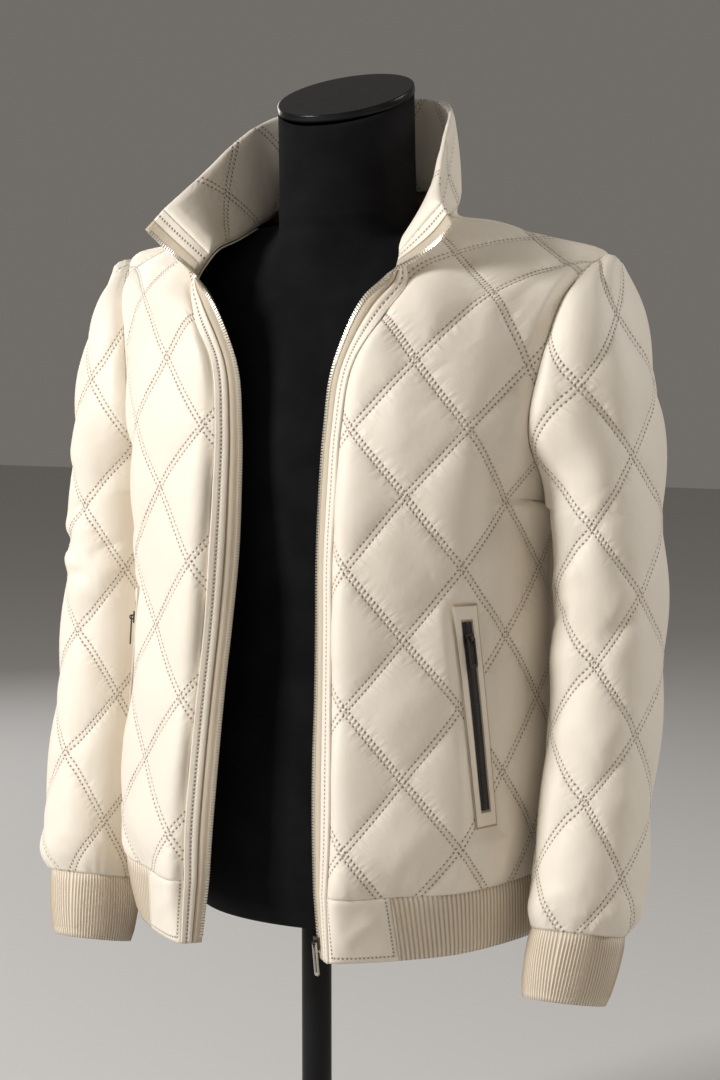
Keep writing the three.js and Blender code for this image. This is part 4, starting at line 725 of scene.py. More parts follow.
# %% Fronts
FRONT_FOLDS_LEFT = (
    (150, 570, 128, 430, 8, 1.7), (134, 585, 112, 455, 9, -1.4), (166, 560, 148, 410, 7, -1.5),
    (120, 560, 96, 470, 12, 1.3), (24, 520, 66, 430, 13, 2.0), (40, 545, 92, 450, 11, -1.6),
    (6, 470, 44, 360, 14, 1.2), (172, 340, 120, 380, 13, 1.9), (170, 318, 104, 318, 12, -1.7),
    (168, 296, 70, 262, 15, 1.8), (160, 250, 84, 205, 17, 1.7), (64, 400, 110, 350, 16, 1.2),
    (40, 20, 74, 62, 12, 1.6), (96, 2, 108, 46, 8, 1.5), (126, 2, 132, 40, 7, 1.4), (62, 2, 64, 34, 7, 1.3),
    (148, 2, 146, 36, 7, 1.2), (20, 120, 70, 170, 15, 1.2), (60, 240, 24, 290, 14, 1.2),
)
FRONT_FOLDS_RIGHT = (
    (146, 560, 128, 440, 8, 1.5), (160, 545, 148, 420, 7, -1.3), (20, 515, 62, 430, 13, 1.6),
    (36, 540, 84, 450, 11, -1.3), (168, 300, 76, 262, 15, 1.5), (162, 236, 90, 196, 17, 1.5),
    (172, 345, 120, 390, 13, 1.6), (30, 18, 64, 56, 12, 1.4), (92, 2, 100, 42, 8, 1.4), (122, 2, 128, 42, 7, 1.4),
    (150, 2, 152, 34, 7, 1.1), (24, 130, 74, 176, 15, 1.0), (70, 350, 30, 400, 15, 1.1),
)
across, up = front_flat[..., 0], front_flat[..., 1] + FIRST_CROSSING
left_gap = across - front_flat[:, :1, 0]
right_gap = front_flat[:, -1:, 0] - across
near_edge = np.minimum(np.minimum(left_gap * 2.2, right_gap), np.minimum(up, FRONT_TOP - up) * 1.2)
edge_share = np.clip(near_edge / 16, 0, 1) ** 0.55
front_panels = {}
for side, mirror, table in (("left", False, FRONT_FOLDS_LEFT), ("right", True, FRONT_FOLDS_RIGHT)):
    flatness = pocket_flatness(across, up)
    lift = quilting(across, front_flat[..., 1]) * flatness * edge_share
    uneven = unevenness(front_base * (MIRROR if mirror else 1), 0.55)
    lift += (folds(across, up, table) + uneven) * edge_share * flatness + gathers(across, up)
    piece = shell(f"front_{side}_quilted", front_base, front_flat, lift, inner_wall(lift), quilted_leather, mirror=mirror,
                  normal=front_normal, inner=brown_lining)
    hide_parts(f"front_{side}")
    front_panels[side] = piece

# %% [markdown]
# ## Back
# The back is one panel between the side seams, up to the shoulder seams and the neckline.

# %% Back
BACK_ROWS, BACK_COUNT = 250, 160
back_base = np.zeros((BACK_ROWS, BACK_COUNT, 3))
back_flat = np.zeros((BACK_ROWS, BACK_COUNT, 2))
top_half = neck_and_shoulder()[::-1]
top_share = lengths(top_half) / lengths(top_half)[-1]
LAST_BACK_ROW = back_height(FRONT_TOP - 14.25)
share = np.linspace(-1, 1, BACK_COUNT)
for r, height in enumerate(np.linspace(0, BACK_TOP, BACK_ROWS)):
    line = back_row(min(height, LAST_BACK_ROW))
    width = lengths(line)[-1]
    half = along_line(line, np.abs(share) * width)
    if height > LAST_BACK_ROW:
        edge = np.stack([np.interp(np.abs(share), top_share, top_half[:, k]) for k in range(3)], axis=1)
        half = half + (edge - half) * (height - LAST_BACK_ROW) / (BACK_TOP - LAST_BACK_ROW)
    back_base[r] = np.where(share[:, None] < 0, half, half * MIRROR)
    back_flat[r, :, 0] = share * width
    back_flat[r, :, 1] = height - FIRST_CROSSING
BACK_FOLDS = (
    (-150, 330, -60, 300, 18, 1.7), (150, 322, 66, 290, 18, 1.6), (-160, 260, -80, 225, 17, 1.5),
    (158, 240, 90, 214, 16, 1.5), (-150, 400, -120, 500, 16, 1.8), (152, 392, 124, 496, 16, 1.8),
    (-40, 540, 40, 545, 14, -1.2), (-120, 4, -112, 44, 8, 1.3), (-60, 4, -56, 38, 8, 1.2), (10, 4, 14, 44, 8, 1.3),
    (70, 4, 74, 36, 8, 1.2), (130, 4, 128, 40, 8, 1.2), (-90, 70, -30, 60, 15, 1.2), (40, 90, 110, 76, 15, 1.2),
)
across, up = back_flat[..., 0], back_flat[..., 1] + FIRST_CROSSING
side_gap = back_flat[:, -1:, 0] - np.abs(across)
near_edge = np.minimum(side_gap, np.minimum(up, BACK_TOP - up) * 1.2)
edge_share = np.clip(near_edge / 16, 0, 1) ** 0.55
lift = (quilting(across, back_flat[..., 1]) + folds(across, up, BACK_FOLDS) + unevenness(back_base, 0.55)) * edge_share
lift += gathers(across, up)
back_panel = shell("back_quilted", back_base, back_flat, lift, inner_wall(lift), quilted_leather, inner=brown_lining)
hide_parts("back")

# %% [markdown]
# ## Sleeves
# A sleeve is a bent tube with its seam underneath. Its upper edge is sewn round the armhole, and its crown is a
# rounded cap. The folds lie across the front of the elbow.

# %% Sleeve grid
SLEEVE_BOTTOM, CAP_BASE, CAP_TOP = 318.0, 669.0, 880.5
SLEEVE_CROSSING, SLEEVE_HALF_HEIGHT, SLEEVE_HALF_ANGLE, SLEEVE_START = 366.0, 58.0, 52.0, -29.0
SQUARE = 0.85
armhole_heights = np.linspace(UNDERARM, FRONT_TOP, 200)
armhole_front = front["side"](armhole_heights)
armhole_back = np.array([back["arm"](back_height(h))[0] for h in armhole_heights])


def sleeve_value(name, level):
    return sleeve[name](level)[0, 0]


def sleeve_place(level, angle):
    """Places on the sleeve's ring; angle in degrees from +X, -90 in front."""
    def rounded(value):
        return np.sign(value) * np.abs(value) ** SQUARE

    turn = np.radians(angle)
    x = sleeve_value("x", level) + sleeve_value("half_x", level) * rounded(np.cos(turn))
    dy = sleeve_value("half_y", level) * rounded(np.sin(turn))
    z = level - dy * math.tan(math.radians(sleeve_value("lean", level)))
    return np.stack([x, sleeve_value("y", level) + dy, z], axis=-1)


def ring_angle(level, point):
    return math.degrees(math.atan2((point[1] - sleeve_value("y", level)) / sleeve_value("half_y", level),
                                   (point[0] - sleeve_value("x", level)) / sleeve_value("half_x", level)))


def sleeve_row(level, columns):
    """The places of a row and their angles."""
    if level <= CAP_BASE:
        angle = np.linspace(-180, 180, columns)
        place = sleeve_place(level, angle)
        near = np.exp(-((CAP_BASE - level) / 12) ** 2) * np.exp(-((180 - np.abs(angle)) / 20) ** 2)
        return place + (armhole_front[0] - sleeve_place(CAP_BASE, np.array([180.0]))) * near[:, None], angle
    start = np.array([np.interp(level, armhole_front[:, 2], armhole_front[:, k]) for k in range(3)])
    end = np.array([np.interp(level, armhole_back[:, 2], armhole_back[:, k]) for k in range(3)])
    ring = min(level, 868.0)
    low, high = ring_angle(ring, start), ring_angle(ring, end)
    if high < 0:
        high += 360
    angle = np.linspace(low, high, columns)
    shrink = math.sqrt(max(0.0, 1 - ((level - 868) / (CAP_TOP - 868)) ** 2)) if level > 868 else 1.0
    tip = armhole_front[-1]
    place = sleeve_place(ring, angle)
    place[:, 2] += level - ring
    place = tip * (1 - shrink) * [1, 1, 0] + place * [shrink, shrink, 1] + tip * 0
    first, last = place[0].copy(), place[-1].copy()

    def ease(gap):
        return (0.5 + 0.5 * np.cos(math.pi * np.minimum(1, gap / 75)))[:, None]

    weight_low, weight_high = ease(angle - low), ease(high - angle)
    both = np.maximum(1, weight_low + weight_high)
    place = place + (start - first) * weight_low / both + (end - last) * weight_high / both
    place[0], place[-1] = start, end
    return place, angle


levels = np.concatenate([np.linspace(SLEEVE_BOTTOM, CAP_BASE, 150), np.linspace(CAP_BASE, CAP_TOP, 91)[1:]])
SLEEVE_COUNT = 132
sleeve_base = np.zeros((len(levels), SLEEVE_COUNT, 3))
sleeve_flat = np.zeros((len(levels), SLEEVE_COUNT, 2))
sleeve_turn = np.zeros((len(levels), SLEEVE_COUNT))
for r, level in enumerate(levels):
    sleeve_base[r], sleeve_turn[r] = sleeve_row(level, SLEEVE_COUNT)
    sleeve_flat[r, :, 0] = (sleeve_turn[r] - SLEEVE_START) / SLEEVE_HALF_ANGLE * HALF_WIDTH
    sleeve_flat[r, :, 1] = (level - SLEEVE_CROSSING) / SLEEVE_HALF_HEIGHT * HALF_HEIGHT
sleeve_normal = normals_of(sleeve_base)
print("sleeve", round(float(levels[-1] - levels[0])), "mm high")

# %% Sleeves
# angle and level of both ends, half width and height
SLEEVE_FOLDS_LEFT = (
    (-175, 596, -92, 616, 10, 3.4), (-172, 556, -104, 586, 6, -3.2), (-172, 532, -84, 548, 13, 2.4),
    (-88, 652, -44, 694, 11, 1.8), (-96, 640, -52, 670, 7, -1.4), (-66, 582, -18, 612, 11, 1.7),
    (-72, 542, -20, 568, 11, 1.7), (-78, 560, -34, 584, 6, -1.2), (-76, 466, -22, 504, 12, 1.7),
    (-70, 408, -26, 432, 12, 1.4), (-135, 470, -96, 486, 12, 1.6), (-165, 650, -100, 668, 11, 2.2),
    (60, 560, 150, 520, 14, 2.0), (40, 640, 120, 620, 15, 1.7), (150, 470, 70, 500, 10, -1.6),
    (-120, 338, -70, 352, 9, 1.8), (-40, 334, 10, 350, 9, 1.6), (60, 336, 110, 352, 9, 1.6),
    (-112, 770, -66, 690, 13, 1.8), (-90, 790, -50, 720, 9, -1.4), (20, 760, 60, 690, 14, 1.6),
)
SLEEVE_FOLDS_RIGHT = (
    (-92, 656, -46, 648, 6, -2.9), (-96, 634, -34, 634, 9, 2.8), (-64, 617, -24, 623, 6, -2.5),
    (-80, 600, -30, 606, 8, 2.4), (-92, 592, -42, 586, 6, -2.7), (-134, 624, -92, 610, 6, -2.5),
    (-140, 600, -98, 590, 9, 2.4), (-124, 574, -56, 568, 13, 1.9), (-96, 694, -46, 704, 12, 1.5),
    (-110, 500, -50, 520, 13, 1.5), (60, 570, 150, 534, 14, 2.0), (150, 480, 70, 505, 10, -1.6),
    (-110, 410, -44, 428, 14, 1.5), (-130, 340, -76, 354, 9, 1.9), (-30, 336, 20, 350, 9, 1.7),
    (70, 336, 120, 352, 9, 1.6), (-104, 760, -62, 690, 14, 1.7), (20, 750, 60, 690, 14, 1.6),
)
angle_mm = sleeve_turn * 0.9
level_grid = np.repeat(levels[:, None], SLEEVE_COUNT, axis=1)
cap = level_grid > CAP_BASE
seam_gap = np.minimum(sleeve_turn - sleeve_turn[:, :1], sleeve_turn[:, -1:] - sleeve_turn) * 0.9
near_edge = np.minimum(np.where(cap, seam_gap, 99), (level_grid - SLEEVE_BOTTOM) * 0.9)
near_edge = np.minimum(near_edge, (CAP_TOP - level_grid) * 2.5)
edge_share = np.clip(near_edge / 15, 0, 1) ** 0.55
inner_side = 1 - 0.65 * np.clip(-np.cos(np.radians(sleeve_turn)), 0, 1)
for side, mirror, table in (("left", False, SLEEVE_FOLDS_LEFT), ("right", True, SLEEVE_FOLDS_RIGHT)):
    creases = folds(angle_mm, level_grid, [(a * 0.9, b, c * 0.9, d, w, h) for a, b, c, d, w, h in table])
    swell = quilting(sleeve_flat[..., 0], sleeve_flat[..., 1])
    uneven = unevenness(sleeve_base * (MIRROR if mirror else 1), 0.6)
    lift = (swell + creases + uneven) * edge_share * inner_side + gathers(angle_mm, level_grid - SLEEVE_BOTTOM)
    piece = shell(f"sleeve_{side}_quilted", sleeve_base, sleeve_flat, lift, inner_wall(lift), quilted_leather, mirror=mirror,
                  inner=brown_lining)
    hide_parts(f"sleeve_{side}")

# %% [markdown]
# ## Collar
# The stand collar is two layers of padded leather. It is left open and falls outwards in front, so its inner
# face shows. Both faces swell between the stitches.

# %% Collar
CORNER_HEIGHT = 536.75
COLLAR_ROWS_COUNT, COLLAR_SIDE, COLLAR_NECK = 40, 56, 72
side_share = np.linspace(0, 1, COLLAR_SIDE)[:-1]
neck_share = np.linspace(0, 1, COLLAR_NECK)
seam_half = np.vstack([front["edge"](CORNER_HEIGHT + side_share * (FRONT_TOP - CORNER_HEIGHT)), neck["seam"](neck_share)])
top_half_collar = np.vstack([collar_top_front(side_share), neck["top"](neck_share)])
seam = np.vstack([seam_half, (seam_half[:-1] * MIRROR)[::-1]])
upper = np.vstack([top_half_collar, (top_half_collar[:-1] * MIRROR)[::-1]])
rise = np.linspace(0, 1, COLLAR_ROWS_COUNT)[:, None, None]
collar_base = seam[None] * (1 - rise) + upper[None] * rise
reach = lengths((seam + upper) / 2)
collar_flat = np.zeros((*collar_base.shape[:2], 2))
collar_flat[..., 0] = reach[None, :] - reach[-1] / 2
collar_flat[..., 1] = np.linalg.norm(upper - seam, axis=1)[None, :] * rise[..., 0] + 20
across, up = collar_flat[..., 0], rise[..., 0] * 80
end_gap = np.minimum(reach, reach[-1] - reach)[None, :]
edge_share = np.clip(np.minimum(end_gap, np.minimum(up, 80 - up)) / 9, 0, 1) ** 0.5
lift = (quilting(across, collar_flat[..., 1], 3.0) + 1.2) * edge_share
inside = 1.4 + (2.0 + quilting(across, collar_flat[..., 1] + HALF_HEIGHT, 2.2)) * edge_share
collar_lining = leather("collar_lining_leather", True, shift=HALF_HEIGHT)
collar = shell("collar_quilted", collar_base, collar_flat, lift, inside, quilted_leather, inner=collar_lining)
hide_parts("collar")

# %% [markdown]
# ## Plackets and zip
# A narrow leather strip runs beside the zip from the hem to the collar's tip. The tape is sewn under it, and the
# teeth sit along the tape's edge.

# %% Edge rows
strip_heights = np.linspace(0, CORNER_HEIGHT, 170)
collar_share = np.linspace(0, 1, 28)[1:]
hem_share = np.linspace(0, 1, 18)[:-1, None]
band_zip, band_edge = np.array(BAND_BOTTOM[0], float), np.array(BAND_BOTTOM[1], float)
zip_line = np.vstack([band_zip * (1 - hem_share) + front["zip"](0) * hem_share, front["zip"](strip_heights),
                      collar_zip(collar_share)])
edge_line = np.vstack([band_edge * (1 - hem_share) + front["edge"](0) * hem_share, front["edge"](strip_heights),
                       seam[0] * (1 - collar_share[:, None]) + upper[0] * collar_share[:, None]])
strip_run = lengths(zip_line)
TAPE_SHARE = 0.45


def strip_grid(shares):
    shares = np.asarray(shares)
    base = zip_line[:, None] * (1 - shares[None, :, None]) + edge_line[:, None] * shares[None, :, None]
    flat = np.zeros((*base.shape[:2], 2))
    flat[..., 0] = np.linalg.norm(edge_line - zip_line, axis=1)[:, None] * shares[None]
    flat[..., 1] = strip_run[:, None]
    return base, flat


full_base, _ = strip_grid(np.linspace(0, 1, 12))
strip_normal = normals_of(full_base)[:, 6]
print("zip", round(strip_run[-1]), "mm long")

# %% Plackets
# Painted shadow: the crease line at 0.35 mm darkens the placket along the tape, and the stitch row's trough is darkened
# too.
plain_leather = leather("edge_leather", False, [("across", 5.8, -2000, 2000)], [0.35])
shares = np.linspace(TAPE_SHARE, 1, 12)
base, flat = strip_grid(shares)
flat[..., 0] = (shares[None] - TAPE_SHARE) * 20.0
place = (shares - TAPE_SHARE) / (1 - TAPE_SHARE)
lift = 0.4 + 1.3 * np.clip(place * 5, 0, 1) ** 0.5 + 0.5 * place - 0.5 * np.exp(-((place - 0.5) / 0.08) ** 2)
for side, mirror in (("left", False), ("right", True)):
    piece = shell(f"placket_{side}_strip", base, flat, np.tile(lift, (len(base), 1)), 1.1, plain_leather, mirror=mirror)
    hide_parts(f"placket_{side}")

# %% Zip tapes and teeth
shares = np.linspace(0, TAPE_SHARE, 9)
tape_lift = 0.2 + 0.9 * np.sin(np.clip((shares / TAPE_SHARE - 0.35) / 0.65, 0, 1) * math.pi)
base, flat = strip_grid(shares)


def tooth_chain(name, mirror, pitch=2.45):
    """Moulded teeth, each a small block that grips the tape's edge."""
    bm = bmesh.new()
    run = np.arange(6, strip_run[-1] - 3, pitch)
    for distance in run:
        row = np.interp(distance, strip_run, np.arange(len(strip_run)))
        r = int(row)
        centre = zip_line[r] + (zip_line[min(r + 1, len(zip_line) - 1)] - zip_line[r]) * (row - r)
        inward = edge_line[r] - zip_line[r]
        inward /= np.linalg.norm(inward)
        along = zip_line[min(r + 1, len(zip_line) - 1)] - zip_line[max(r - 1, 0)]
        along /= np.linalg.norm(along)
        out = np.cross(inward, along)
        out /= np.linalg.norm(out)
        spot = (centre + inward * 1.1) / 1000 + NECK_AXIS
        turn = Matrix([[*(v * s)] for v, s in ((inward, 0.0032), (along, 0.0014), (out, 0.0028))]).transposed().to_4x4()
        bmesh.ops.create_cube(bm, size=1, matrix=Matrix.Translation(Vector(spot)) @ turn)
    if mirror:
        bmesh.ops.scale(bm, vec=Vector((-1, 1, 1)), verts=bm.verts[:])
        bmesh.ops.reverse_faces(bm, faces=bm.faces[:])
    mesh = bpy.data.meshes.new(name)
    bm.to_mesh(mesh)
    bm.free()
    mesh.materials.append(tooth_metal)
    chain = bpy.data.objects.new(name, mesh)
    bpy.context.collection.objects.link(chain)
    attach(chain, "jacket")
    print(name, len(run), "teeth")
    return chain


for side, mirror in (("left", False), ("right", True)):
    piece = shell(f"zip_tape_{side}_woven", base, flat, tape_lift[None], 0.7, tape_cloth, mirror=mirror)
    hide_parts(f"zip_tape_{side}")
    tooth_chain(f"zip_teeth_{side}", mirror)

# %% [markdown]
# ## Hem and cuffs
# The hem has a flat leather tab beside each zip and ribbed knit between them. The ribs are waves across the knit,
# so they hold in any light.

# %% Hem lines
def hem_line(places):
    return smooth_line(list(places) + [places[-2] * MIRROR], 0, len(places) - 1)


top_places = [front[name](0)[0] for name in FRONT_COLUMNS[1:]] + [back[name](0)[0] for name in ("blade", "mid", "spine")]
hem_top = hem_line(top_places)
hem_bottom = hem_line([np.array(p, float) for p in BAND_BOTTOM[1:]])
TAB = 58.0


def hem_grid(start, share_across, rows):
    up = np.linspace(0, 1, rows)[:, None, None]
    edges = []
    for line in (hem_bottom, hem_top):
        total = lengths(line)[-1]
        if start is None:
            distance = TAB + 0.3 + 2 * np.minimum(share_across, 1 - share_across) * (total - TAB - 0.3)
            points = along_line(line, distance)
            edges.append(np.where(share_across[:, None] <= 0.5, points, points * MIRROR))
        else:
            edges.append(along_line(line, share_across * TAB))
    return edges[0][None] * (1 - up) + edges[1][None] * up


# %% Hem band
RIBS = 196
share = np.linspace(0, 1, RIBS * 6 + 1)
band_base = hem_grid(None, share, 14)
run = lengths(band_base[7])
band_flat = np.zeros((*band_base.shape[:2], 2))
band_flat[..., 0] = share[None] * RIBS * 2.9
band_flat[..., 1] = np.linspace(0, 54, 14)[:, None]
ribs = 0.5 - 0.5 * np.cos(share * RIBS * 2 * math.pi)
rise = np.linspace(0, 1, 14)
roll = np.clip(np.minimum(rise, 1 - rise) * 9, 0.25, 1)
slack = 0.8 * np.sin(run / 37)[None] + 0.5 * np.sin(run / 19 + 1)[None]
lift = (0.1 + 1.4 * ribs[None] + slack * np.sin(rise * math.pi)[:, None]) * roll[:, None]
hem_band = shell("hem_band_rib", band_base, band_flat, lift, 1.3, rib_knit)
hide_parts("hem_band")

# %% Hem tabs
tab_leather = leather("tab_leather", False, [("up", 5.0, 3, 54), ("across", 3.0, 3, 60), ("across", 54.0, 5, 60)])
tab_share = np.linspace(0, 1, 26)
tab_base = hem_grid(0, tab_share, 24)
tab_flat = np.zeros((*tab_base.shape[:2], 2))
tab_flat[..., 0] = tab_share[None] * TAB
tab_flat[..., 1] = np.linspace(0, 56, 24)[:, None]
x, y = tab_flat[..., 0], tab_flat[..., 1]
near_edge = np.minimum(np.minimum(x, TAB - x), np.minimum(y, 56 - y))
for side, mirror, table in (("left", False, ((12, 14, 46, 40, 6, 1.3), (30, 44, 50, 12, 8, 0.8))),
                            ("right", True, ((10, 40, 44, 12, 7, 1.1),))):
    lift = 0.3 + (1.2 + folds(x, y, table)) * np.clip(near_edge / 5, 0, 1) ** 0.5
    piece = shell(f"hem_tab_{side}_leather", tab_base, tab_flat, lift, 1.6, tab_leather, mirror=mirror)
    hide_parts(f"hem_tab_{side}")

# %% Cuffs
CUFF_RIBS, CUFF_LEAN = 88, math.radians(14)
CUFF_LOW, CUFF_HALF = np.array([230.0, -62.0, 263.0]), 34.0
turn = np.linspace(0, 360, CUFF_RIBS * 6 + 1)
low_dy = CUFF_HALF * 1.04 * np.sin(np.radians(turn))
low = np.stack([CUFF_LOW[0] + CUFF_HALF * np.cos(np.radians(turn)), CUFF_LOW[1] + low_dy,
                CUFF_LOW[2] - low_dy * math.tan(CUFF_LEAN)], axis=-1)
high = sleeve_place(SLEEVE_BOTTOM, np.where(turn > 180, turn - 360, turn))
up = np.linspace(0, 1, 14)
belly = np.sin(up * math.pi) * 1.6
cuff_base = low[None] * (1 - up)[:, None, None] + high[None] * up[:, None, None]
cuff_flat = np.zeros((*cuff_base.shape[:2], 2))
cuff_flat[..., 0] = turn[None] / 360 * CUFF_RIBS * 2.9
cuff_flat[..., 1] = up[:, None] * 54
roll = np.clip(np.minimum(up, 1 - up) * 9, 0.25, 1)
lift = (0.1 + 1.25 * (0.5 - 0.5 * np.cos(np.radians(turn) * CUFF_RIBS))[None] + belly[:, None]) * roll[:, None]
for side, mirror in (("left", False), ("right", True)):
    piece = shell(f"cuff_{side}_rib", cuff_base, cuff_flat, lift, 1.3, rib_knit, ring=True, mirror=mirror)
    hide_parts(f"cuff_{side}")

# %% [markdown]
# ## Pockets
# Each pocket has a leather welt round a slanted zip. Both lie on the front panel, so they are laid on its places.

# %% Welts and pocket zips
def loop_places(half_across, low, high, count):
    """Flat places round a slanted rectangle, by share of the way round."""
    corners = [(-half_across, low), (half_across, low), (half_across, high), (-half_across, high), (-half_across, low)]
    bounds = np.array([0, 0.06, 0.5, 0.56, 1.0])
    share = np.linspace(0, 1, count)
    off = np.interp(share, bounds, [c[0] for c in corners])
    height = np.interp(share, bounds, [c[1] for c in corners])
    return off, height


# Painted shade: the crease lines at 0.4 and 6.6 mm darken the welt along its outer edge and along the zip window.
welt_leather = leather("welt_leather", False, (), [0.4, 6.6])
LOOP = 201
outer_off, outer_height = loop_places(WELT_HALF, POCKET_FROM, POCKET_TO, LOOP)
inner_off, inner_height = loop_places(WINDOW_HALF, POCKET_FROM + WELT_END, POCKET_TO - WELT_END, LOOP)
up = np.linspace(0, 1, 7)[:, None]
off = outer_off[None] * (1 - up) + inner_off[None] * up
height = outer_height[None] * (1 - up) + inner_height[None] * up
welt_base, welt_normal = on_front(pocket_middle(height) + off, height)
welt_flat = np.stack([np.repeat(up * 7, LOOP, axis=1), np.repeat(np.linspace(0, 420, LOOP)[None], 7, axis=0)], axis=-1)
welt_lift = 0.9 + 1.1 * np.sin(np.linspace(0.12, 0.9, 7) * math.pi)[:, None] ** 0.6 * np.ones((1, LOOP))
zip_up, zip_across = grid(60, 9)
zip_height = POCKET_FROM + WELT_END + zip_up * (POCKET_TO - POCKET_FROM - 2 * WELT_END)
zip_off = (zip_across - 0.5) * 2 * (WINDOW_HALF - 0.4)
zip_base, zip_normal = on_front(pocket_middle(zip_height) + zip_off, zip_height)
zip_flat = np.stack([zip_off, zip_height], axis=-1)


def black_zip_finish():
    finish = Finish("pocket_zip_black", (0.012, 0.012, 0.013), 0.5)
    across, up = finish.flat()
    chain = across.math("ABSOLUTE").ramp(1.9, 1.5)
    tooth = ((up / 1.6).math("FRACT") - 0.5).math("ABSOLUTE").ramp(0.12, 0.3) * chain
    color = finish.blend(tooth, (0.010, 0.010, 0.011), (0.035, 0.035, 0.038))
    return finish.paint(color, 0.62 - tooth * 0.35, tooth + chain, 0.0008, 0.8).material


black_zip = black_zip_finish()
for side, mirror in (("left", False), ("right", True)):
    welt = shell(f"pocket_welt_{side}_frame", welt_base, welt_flat, welt_lift, -0.25, welt_leather, ring=True,
                 mirror=mirror, normal=welt_normal)
    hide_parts(f"pocket_welt_{side}")
    chain_lift = 1.2 + 0.7 * np.exp(-(zip_off / 1.8) ** 4)
    piece = shell(f"pocket_zip_{side}_black", zip_base, zip_flat, chain_lift, -0.25, black_zip, mirror=mirror,
                  normal=zip_normal)
    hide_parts(f"pocket_zip_{side}")

# %% [markdown]
# ## Facings
# Behind the fronts, near the neck, a facing covers the raw edge. It shows where the front falls open.

# %% Facings
facing_leather = leather("facing_leather", False)
face_up, face_across = grid(60, 16)
face_height = 385 + face_up * (FRONT_TOP - 15 - 385)
face_left = np.interp(face_height, heights, front_flat[:, 0, 0])
face_flat_across = face_left + face_across * (60 - face_left)
face_base, face_normal = on_front(face_flat_across, face_height)
face_flat = np.stack([face_flat_across, face_height], axis=-1)
for side, mirror, material in (("left", False, brown_lining), ("right", True, facing_leather)):
    piece = shell(f"facing_{side}_cloth", face_base, face_flat, -2.4, 3.5, material, mirror=mirror, normal=face_normal)
    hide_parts(f"facing_{side}")

# %% [markdown]
# ## The dress form
# The form is a limbless body covered in black jersey, with a tilted gloss cap on its neck. It stands on a pole
# with a round base plate.

# %% Torso
TORSO = (
    (310, 128, 84, -24, 1, 1), (322, 137, 92, -24, 1, 1), (380, 141, 95, -24, 1, 1), (460, 138, 92, -22, 1, 1),
    (560, 130, 85, -18, 1, 1), (640, 138, 92, -14, 1, 1), (710, 147, 97, -9, 1, 1), (770, 150, 94, -3, 1, 1),
    (820, 148, 84, 4, 1, 1), (855, 142, 66, 8, 142, 56), (880, 92, 62, 8, 136, 42), (895, 66, 62, 6, 124, 26),
    (904.4, 63, 61, 5, 104, 12), (913.3, 61, 60, 1, 1, 1), (935, 60, 59, 0, 1, 1),
)
CAP_RADIUS, CAP_THICKNESS, CAP_TILT = 60.0, 7.0, math.radians(22)
CAP_MIDDLE = np.array([-1.5, 0.0, 1016.0])
torso_read = track([row[0] for row in TORSO], [row[1:] for row in TORSO])
turn = np.radians(np.linspace(0, 360, 97))
rings = []
for z in np.concatenate([np.linspace(310, 330, 8), np.linspace(340, 840, 60), np.linspace(846, 935, 40)]):
    half_x, half_y, middle, ridge_x, ridge_y = torso_read(z)[0]
    plain = 1 / np.hypot(np.cos(turn) / half_x, np.sin(turn) / half_y)
    ridge = 1 / np.hypot(np.cos(turn) / max(ridge_x, 1), np.sin(turn) / max(ridge_y, 1))
    radius = (plain ** 8 + ridge ** 8) ** 0.125 * 0.992
    rings.append(np.stack([radius * np.cos(turn), middle + radius * np.sin(turn), np.full_like(turn, z)], axis=-1))
clear = (CAP_THICKNESS / 2 + 0.3) / math.cos(CAP_TILT)
neck_ring = np.stack([CAP_MIDDLE[0] + (CAP_RADIUS - 1) * np.cos(turn), (CAP_RADIUS - 1) * np.sin(turn),
                      CAP_MIDDLE[2] + (CAP_RADIUS - 1) * np.sin(turn) * math.tan(CAP_TILT) - clear], axis=-1)
for share in np.linspace(0, 1, 12)[1:]:
    rings.append(rings[107] * (1 - share) + neck_ring * share)
torso_base = np.stack(rings)
torso_flat = np.stack([np.repeat(np.degrees(turn)[None] * 2.2, len(rings), axis=0), torso_base[..., 2]], axis=-1)
seam_lift = -0.8 * np.exp(-((torso_base[..., 2] - 932 - torso_base[..., 1] * 0.25) / 1.6) ** 2)
torso = shell("form_torso", torso_base, torso_flat, seam_lift, 3.0, jersey, ring=True)
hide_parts("dress_form")


# %% Cap, pole and base
def disc(name, radius, thickness, middle, tilt, material, bevel, sides=96):
    bm = bmesh.new()
    bmesh.ops.create_cone(bm, cap_ends=True, segments=sides, radius1=radius, radius2=radius, depth=thickness)
    rims = [e for e in bm.edges if abs(e.verts[0].co.z - e.verts[1].co.z) < 1e-6]
    bmesh.ops.bevel(bm, geom=rims, offset=bevel, affect="EDGES", segments=3, profile=0.5, material=-1)
    bmesh.ops.rotate(bm, matrix=Matrix.Rotation(tilt, 3, "X"), verts=bm.verts[:])
    bmesh.ops.translate(bm, vec=middle, verts=bm.verts[:])
    mesh = bpy.data.meshes.new(name)
    bm.to_mesh(mesh)
    bm.free()
    mesh.materials.append(material)
    for face in mesh.polygons:
        face.use_smooth = len(face.vertices) == 4
    piece = bpy.data.objects.new(name, mesh)
    bpy.context.collection.objects.link(piece)
    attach(piece, "jacket")
    print(name, len(mesh.polygons), "faces")
    return piece


neck_cap = disc("form_neck_cap", 0.060, 0.007, Vector(CAP_MIDDLE / 1000 + NECK_AXIS), CAP_TILT, gloss, 0.0012)
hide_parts("neck_cap")
pole = disc("stand_pole", 0.013, 0.2974, Vector((0, 0, 0.161)), 0.0, stand_paint, 0.0008, 48)
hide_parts("pole")
base_plate = disc("stand_base_plate", 0.150, 0.012, Vector((0, 0, 0.006)), 0.0, stand_paint, 0.002, 128)
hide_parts("base_plate")

# %% [markdown]
# ## Sliders and pull tabs
# These are hard parts, and their shapes in the frame are right, so they only take their metal.

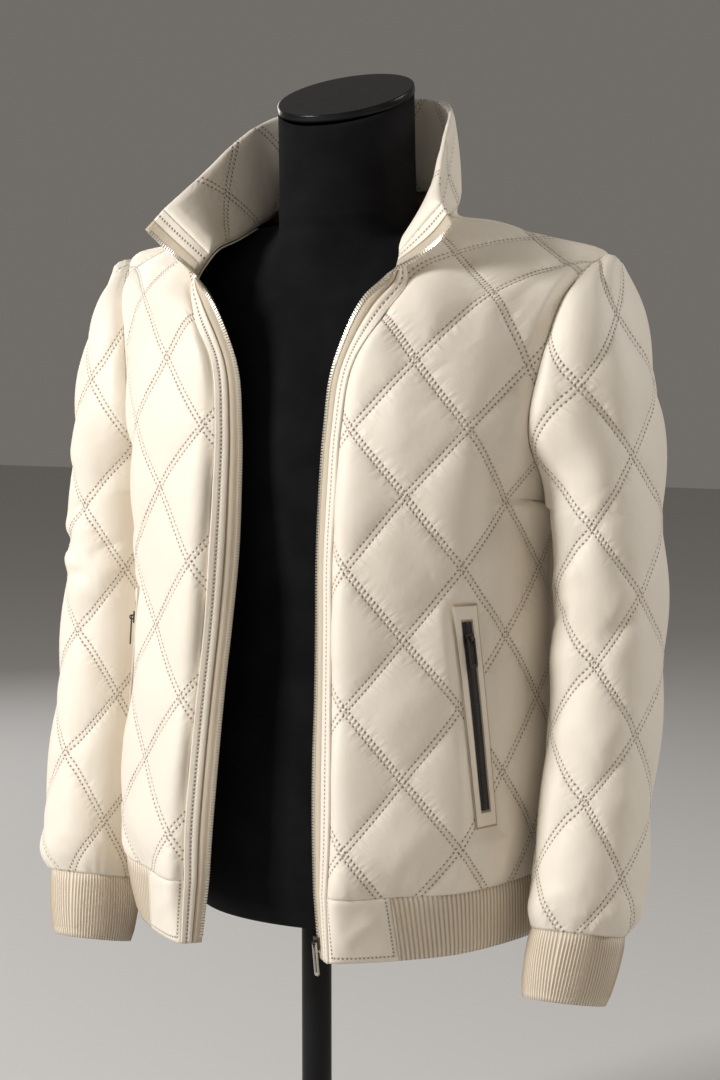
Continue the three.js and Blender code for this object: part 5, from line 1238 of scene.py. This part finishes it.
# %% Metal parts
for name, material in (("main_slider", dark_metal), ("main_pull", steel), ("pocket_slider_left", dark_metal),
                       ("pocket_slider_right", dark_metal), ("pocket_pull_left", dark_metal),
                       ("pocket_pull_right", dark_metal)):
    part = frame["nodes"][name]
    part.data.materials.clear()
    part.data.materials.append(material)
print("metal set on the sliders and pulls")

# %% [markdown]
# ## Floor and light
# A plain pale floor and soft studio lamps: a large key from the front left, a weak fill and a rim from behind.

# %% Floor
bm = bmesh.new()
bmesh.ops.create_grid(bm, x_segments=1, y_segments=1, size=9)
floor_mesh = bpy.data.meshes.new("floor")
bm.to_mesh(floor_mesh)
bm.free()
floor_finish = Finish("floor_pale", (0.62, 0.61, 0.60), 0.8)
soft = floor_finish.noise(floor_finish.place(), 1.5, 2.0)
floor_finish.paint(floor_finish.blend(soft * 0.3, (0.62, 0.61, 0.60), (0.58, 0.57, 0.56)))
floor_mesh.materials.append(floor_finish.material)
floor = bpy.data.objects.new("floor", floor_mesh)
bpy.context.collection.objects.link(floor)


# %% Lamps
def lamp(name, place, size, power, color=(1, 1, 1)):
    data = bpy.data.lights.new(name, "AREA")
    data.shape = "SQUARE"
    data.size = size
    data.energy = power
    data.color = color
    light = bpy.data.objects.new(name, data)
    light.location = place
    light.rotation_euler = (Vector((0, 0.05, 0.65)) - Vector(place)).to_track_quat("-Z", "Y").to_euler()
    bpy.context.collection.objects.link(light)
    return light


lamp("key", (-1.85, -2.1, 1.9), 0.75, 96, (1, 0.985, 0.96))
lamp("front_fill", (0.4, -2.8, 1.5), 1.6, 5, (1, 0.93, 0.82))
lamp("side_fill", (2.6, -1.2, 1.1), 2.0, 6, (1, 0.84, 0.64))
lamp("rim", (2.1, 1.2, 1.9), 1.0, 24)
lamp("back_rim", (-2.2, 2.0, 1.6), 1.2, 20)
world = bpy.data.worlds.new("studio")
world.use_nodes = True
world.node_tree.nodes["Background"].inputs[0].default_value = (0.68, 0.63, 0.57, 1)
world.node_tree.nodes["Background"].inputs[1].default_value = 0.24
bpy.context.scene.world = world
bpy.context.scene.view_settings.view_transform = "Standard"
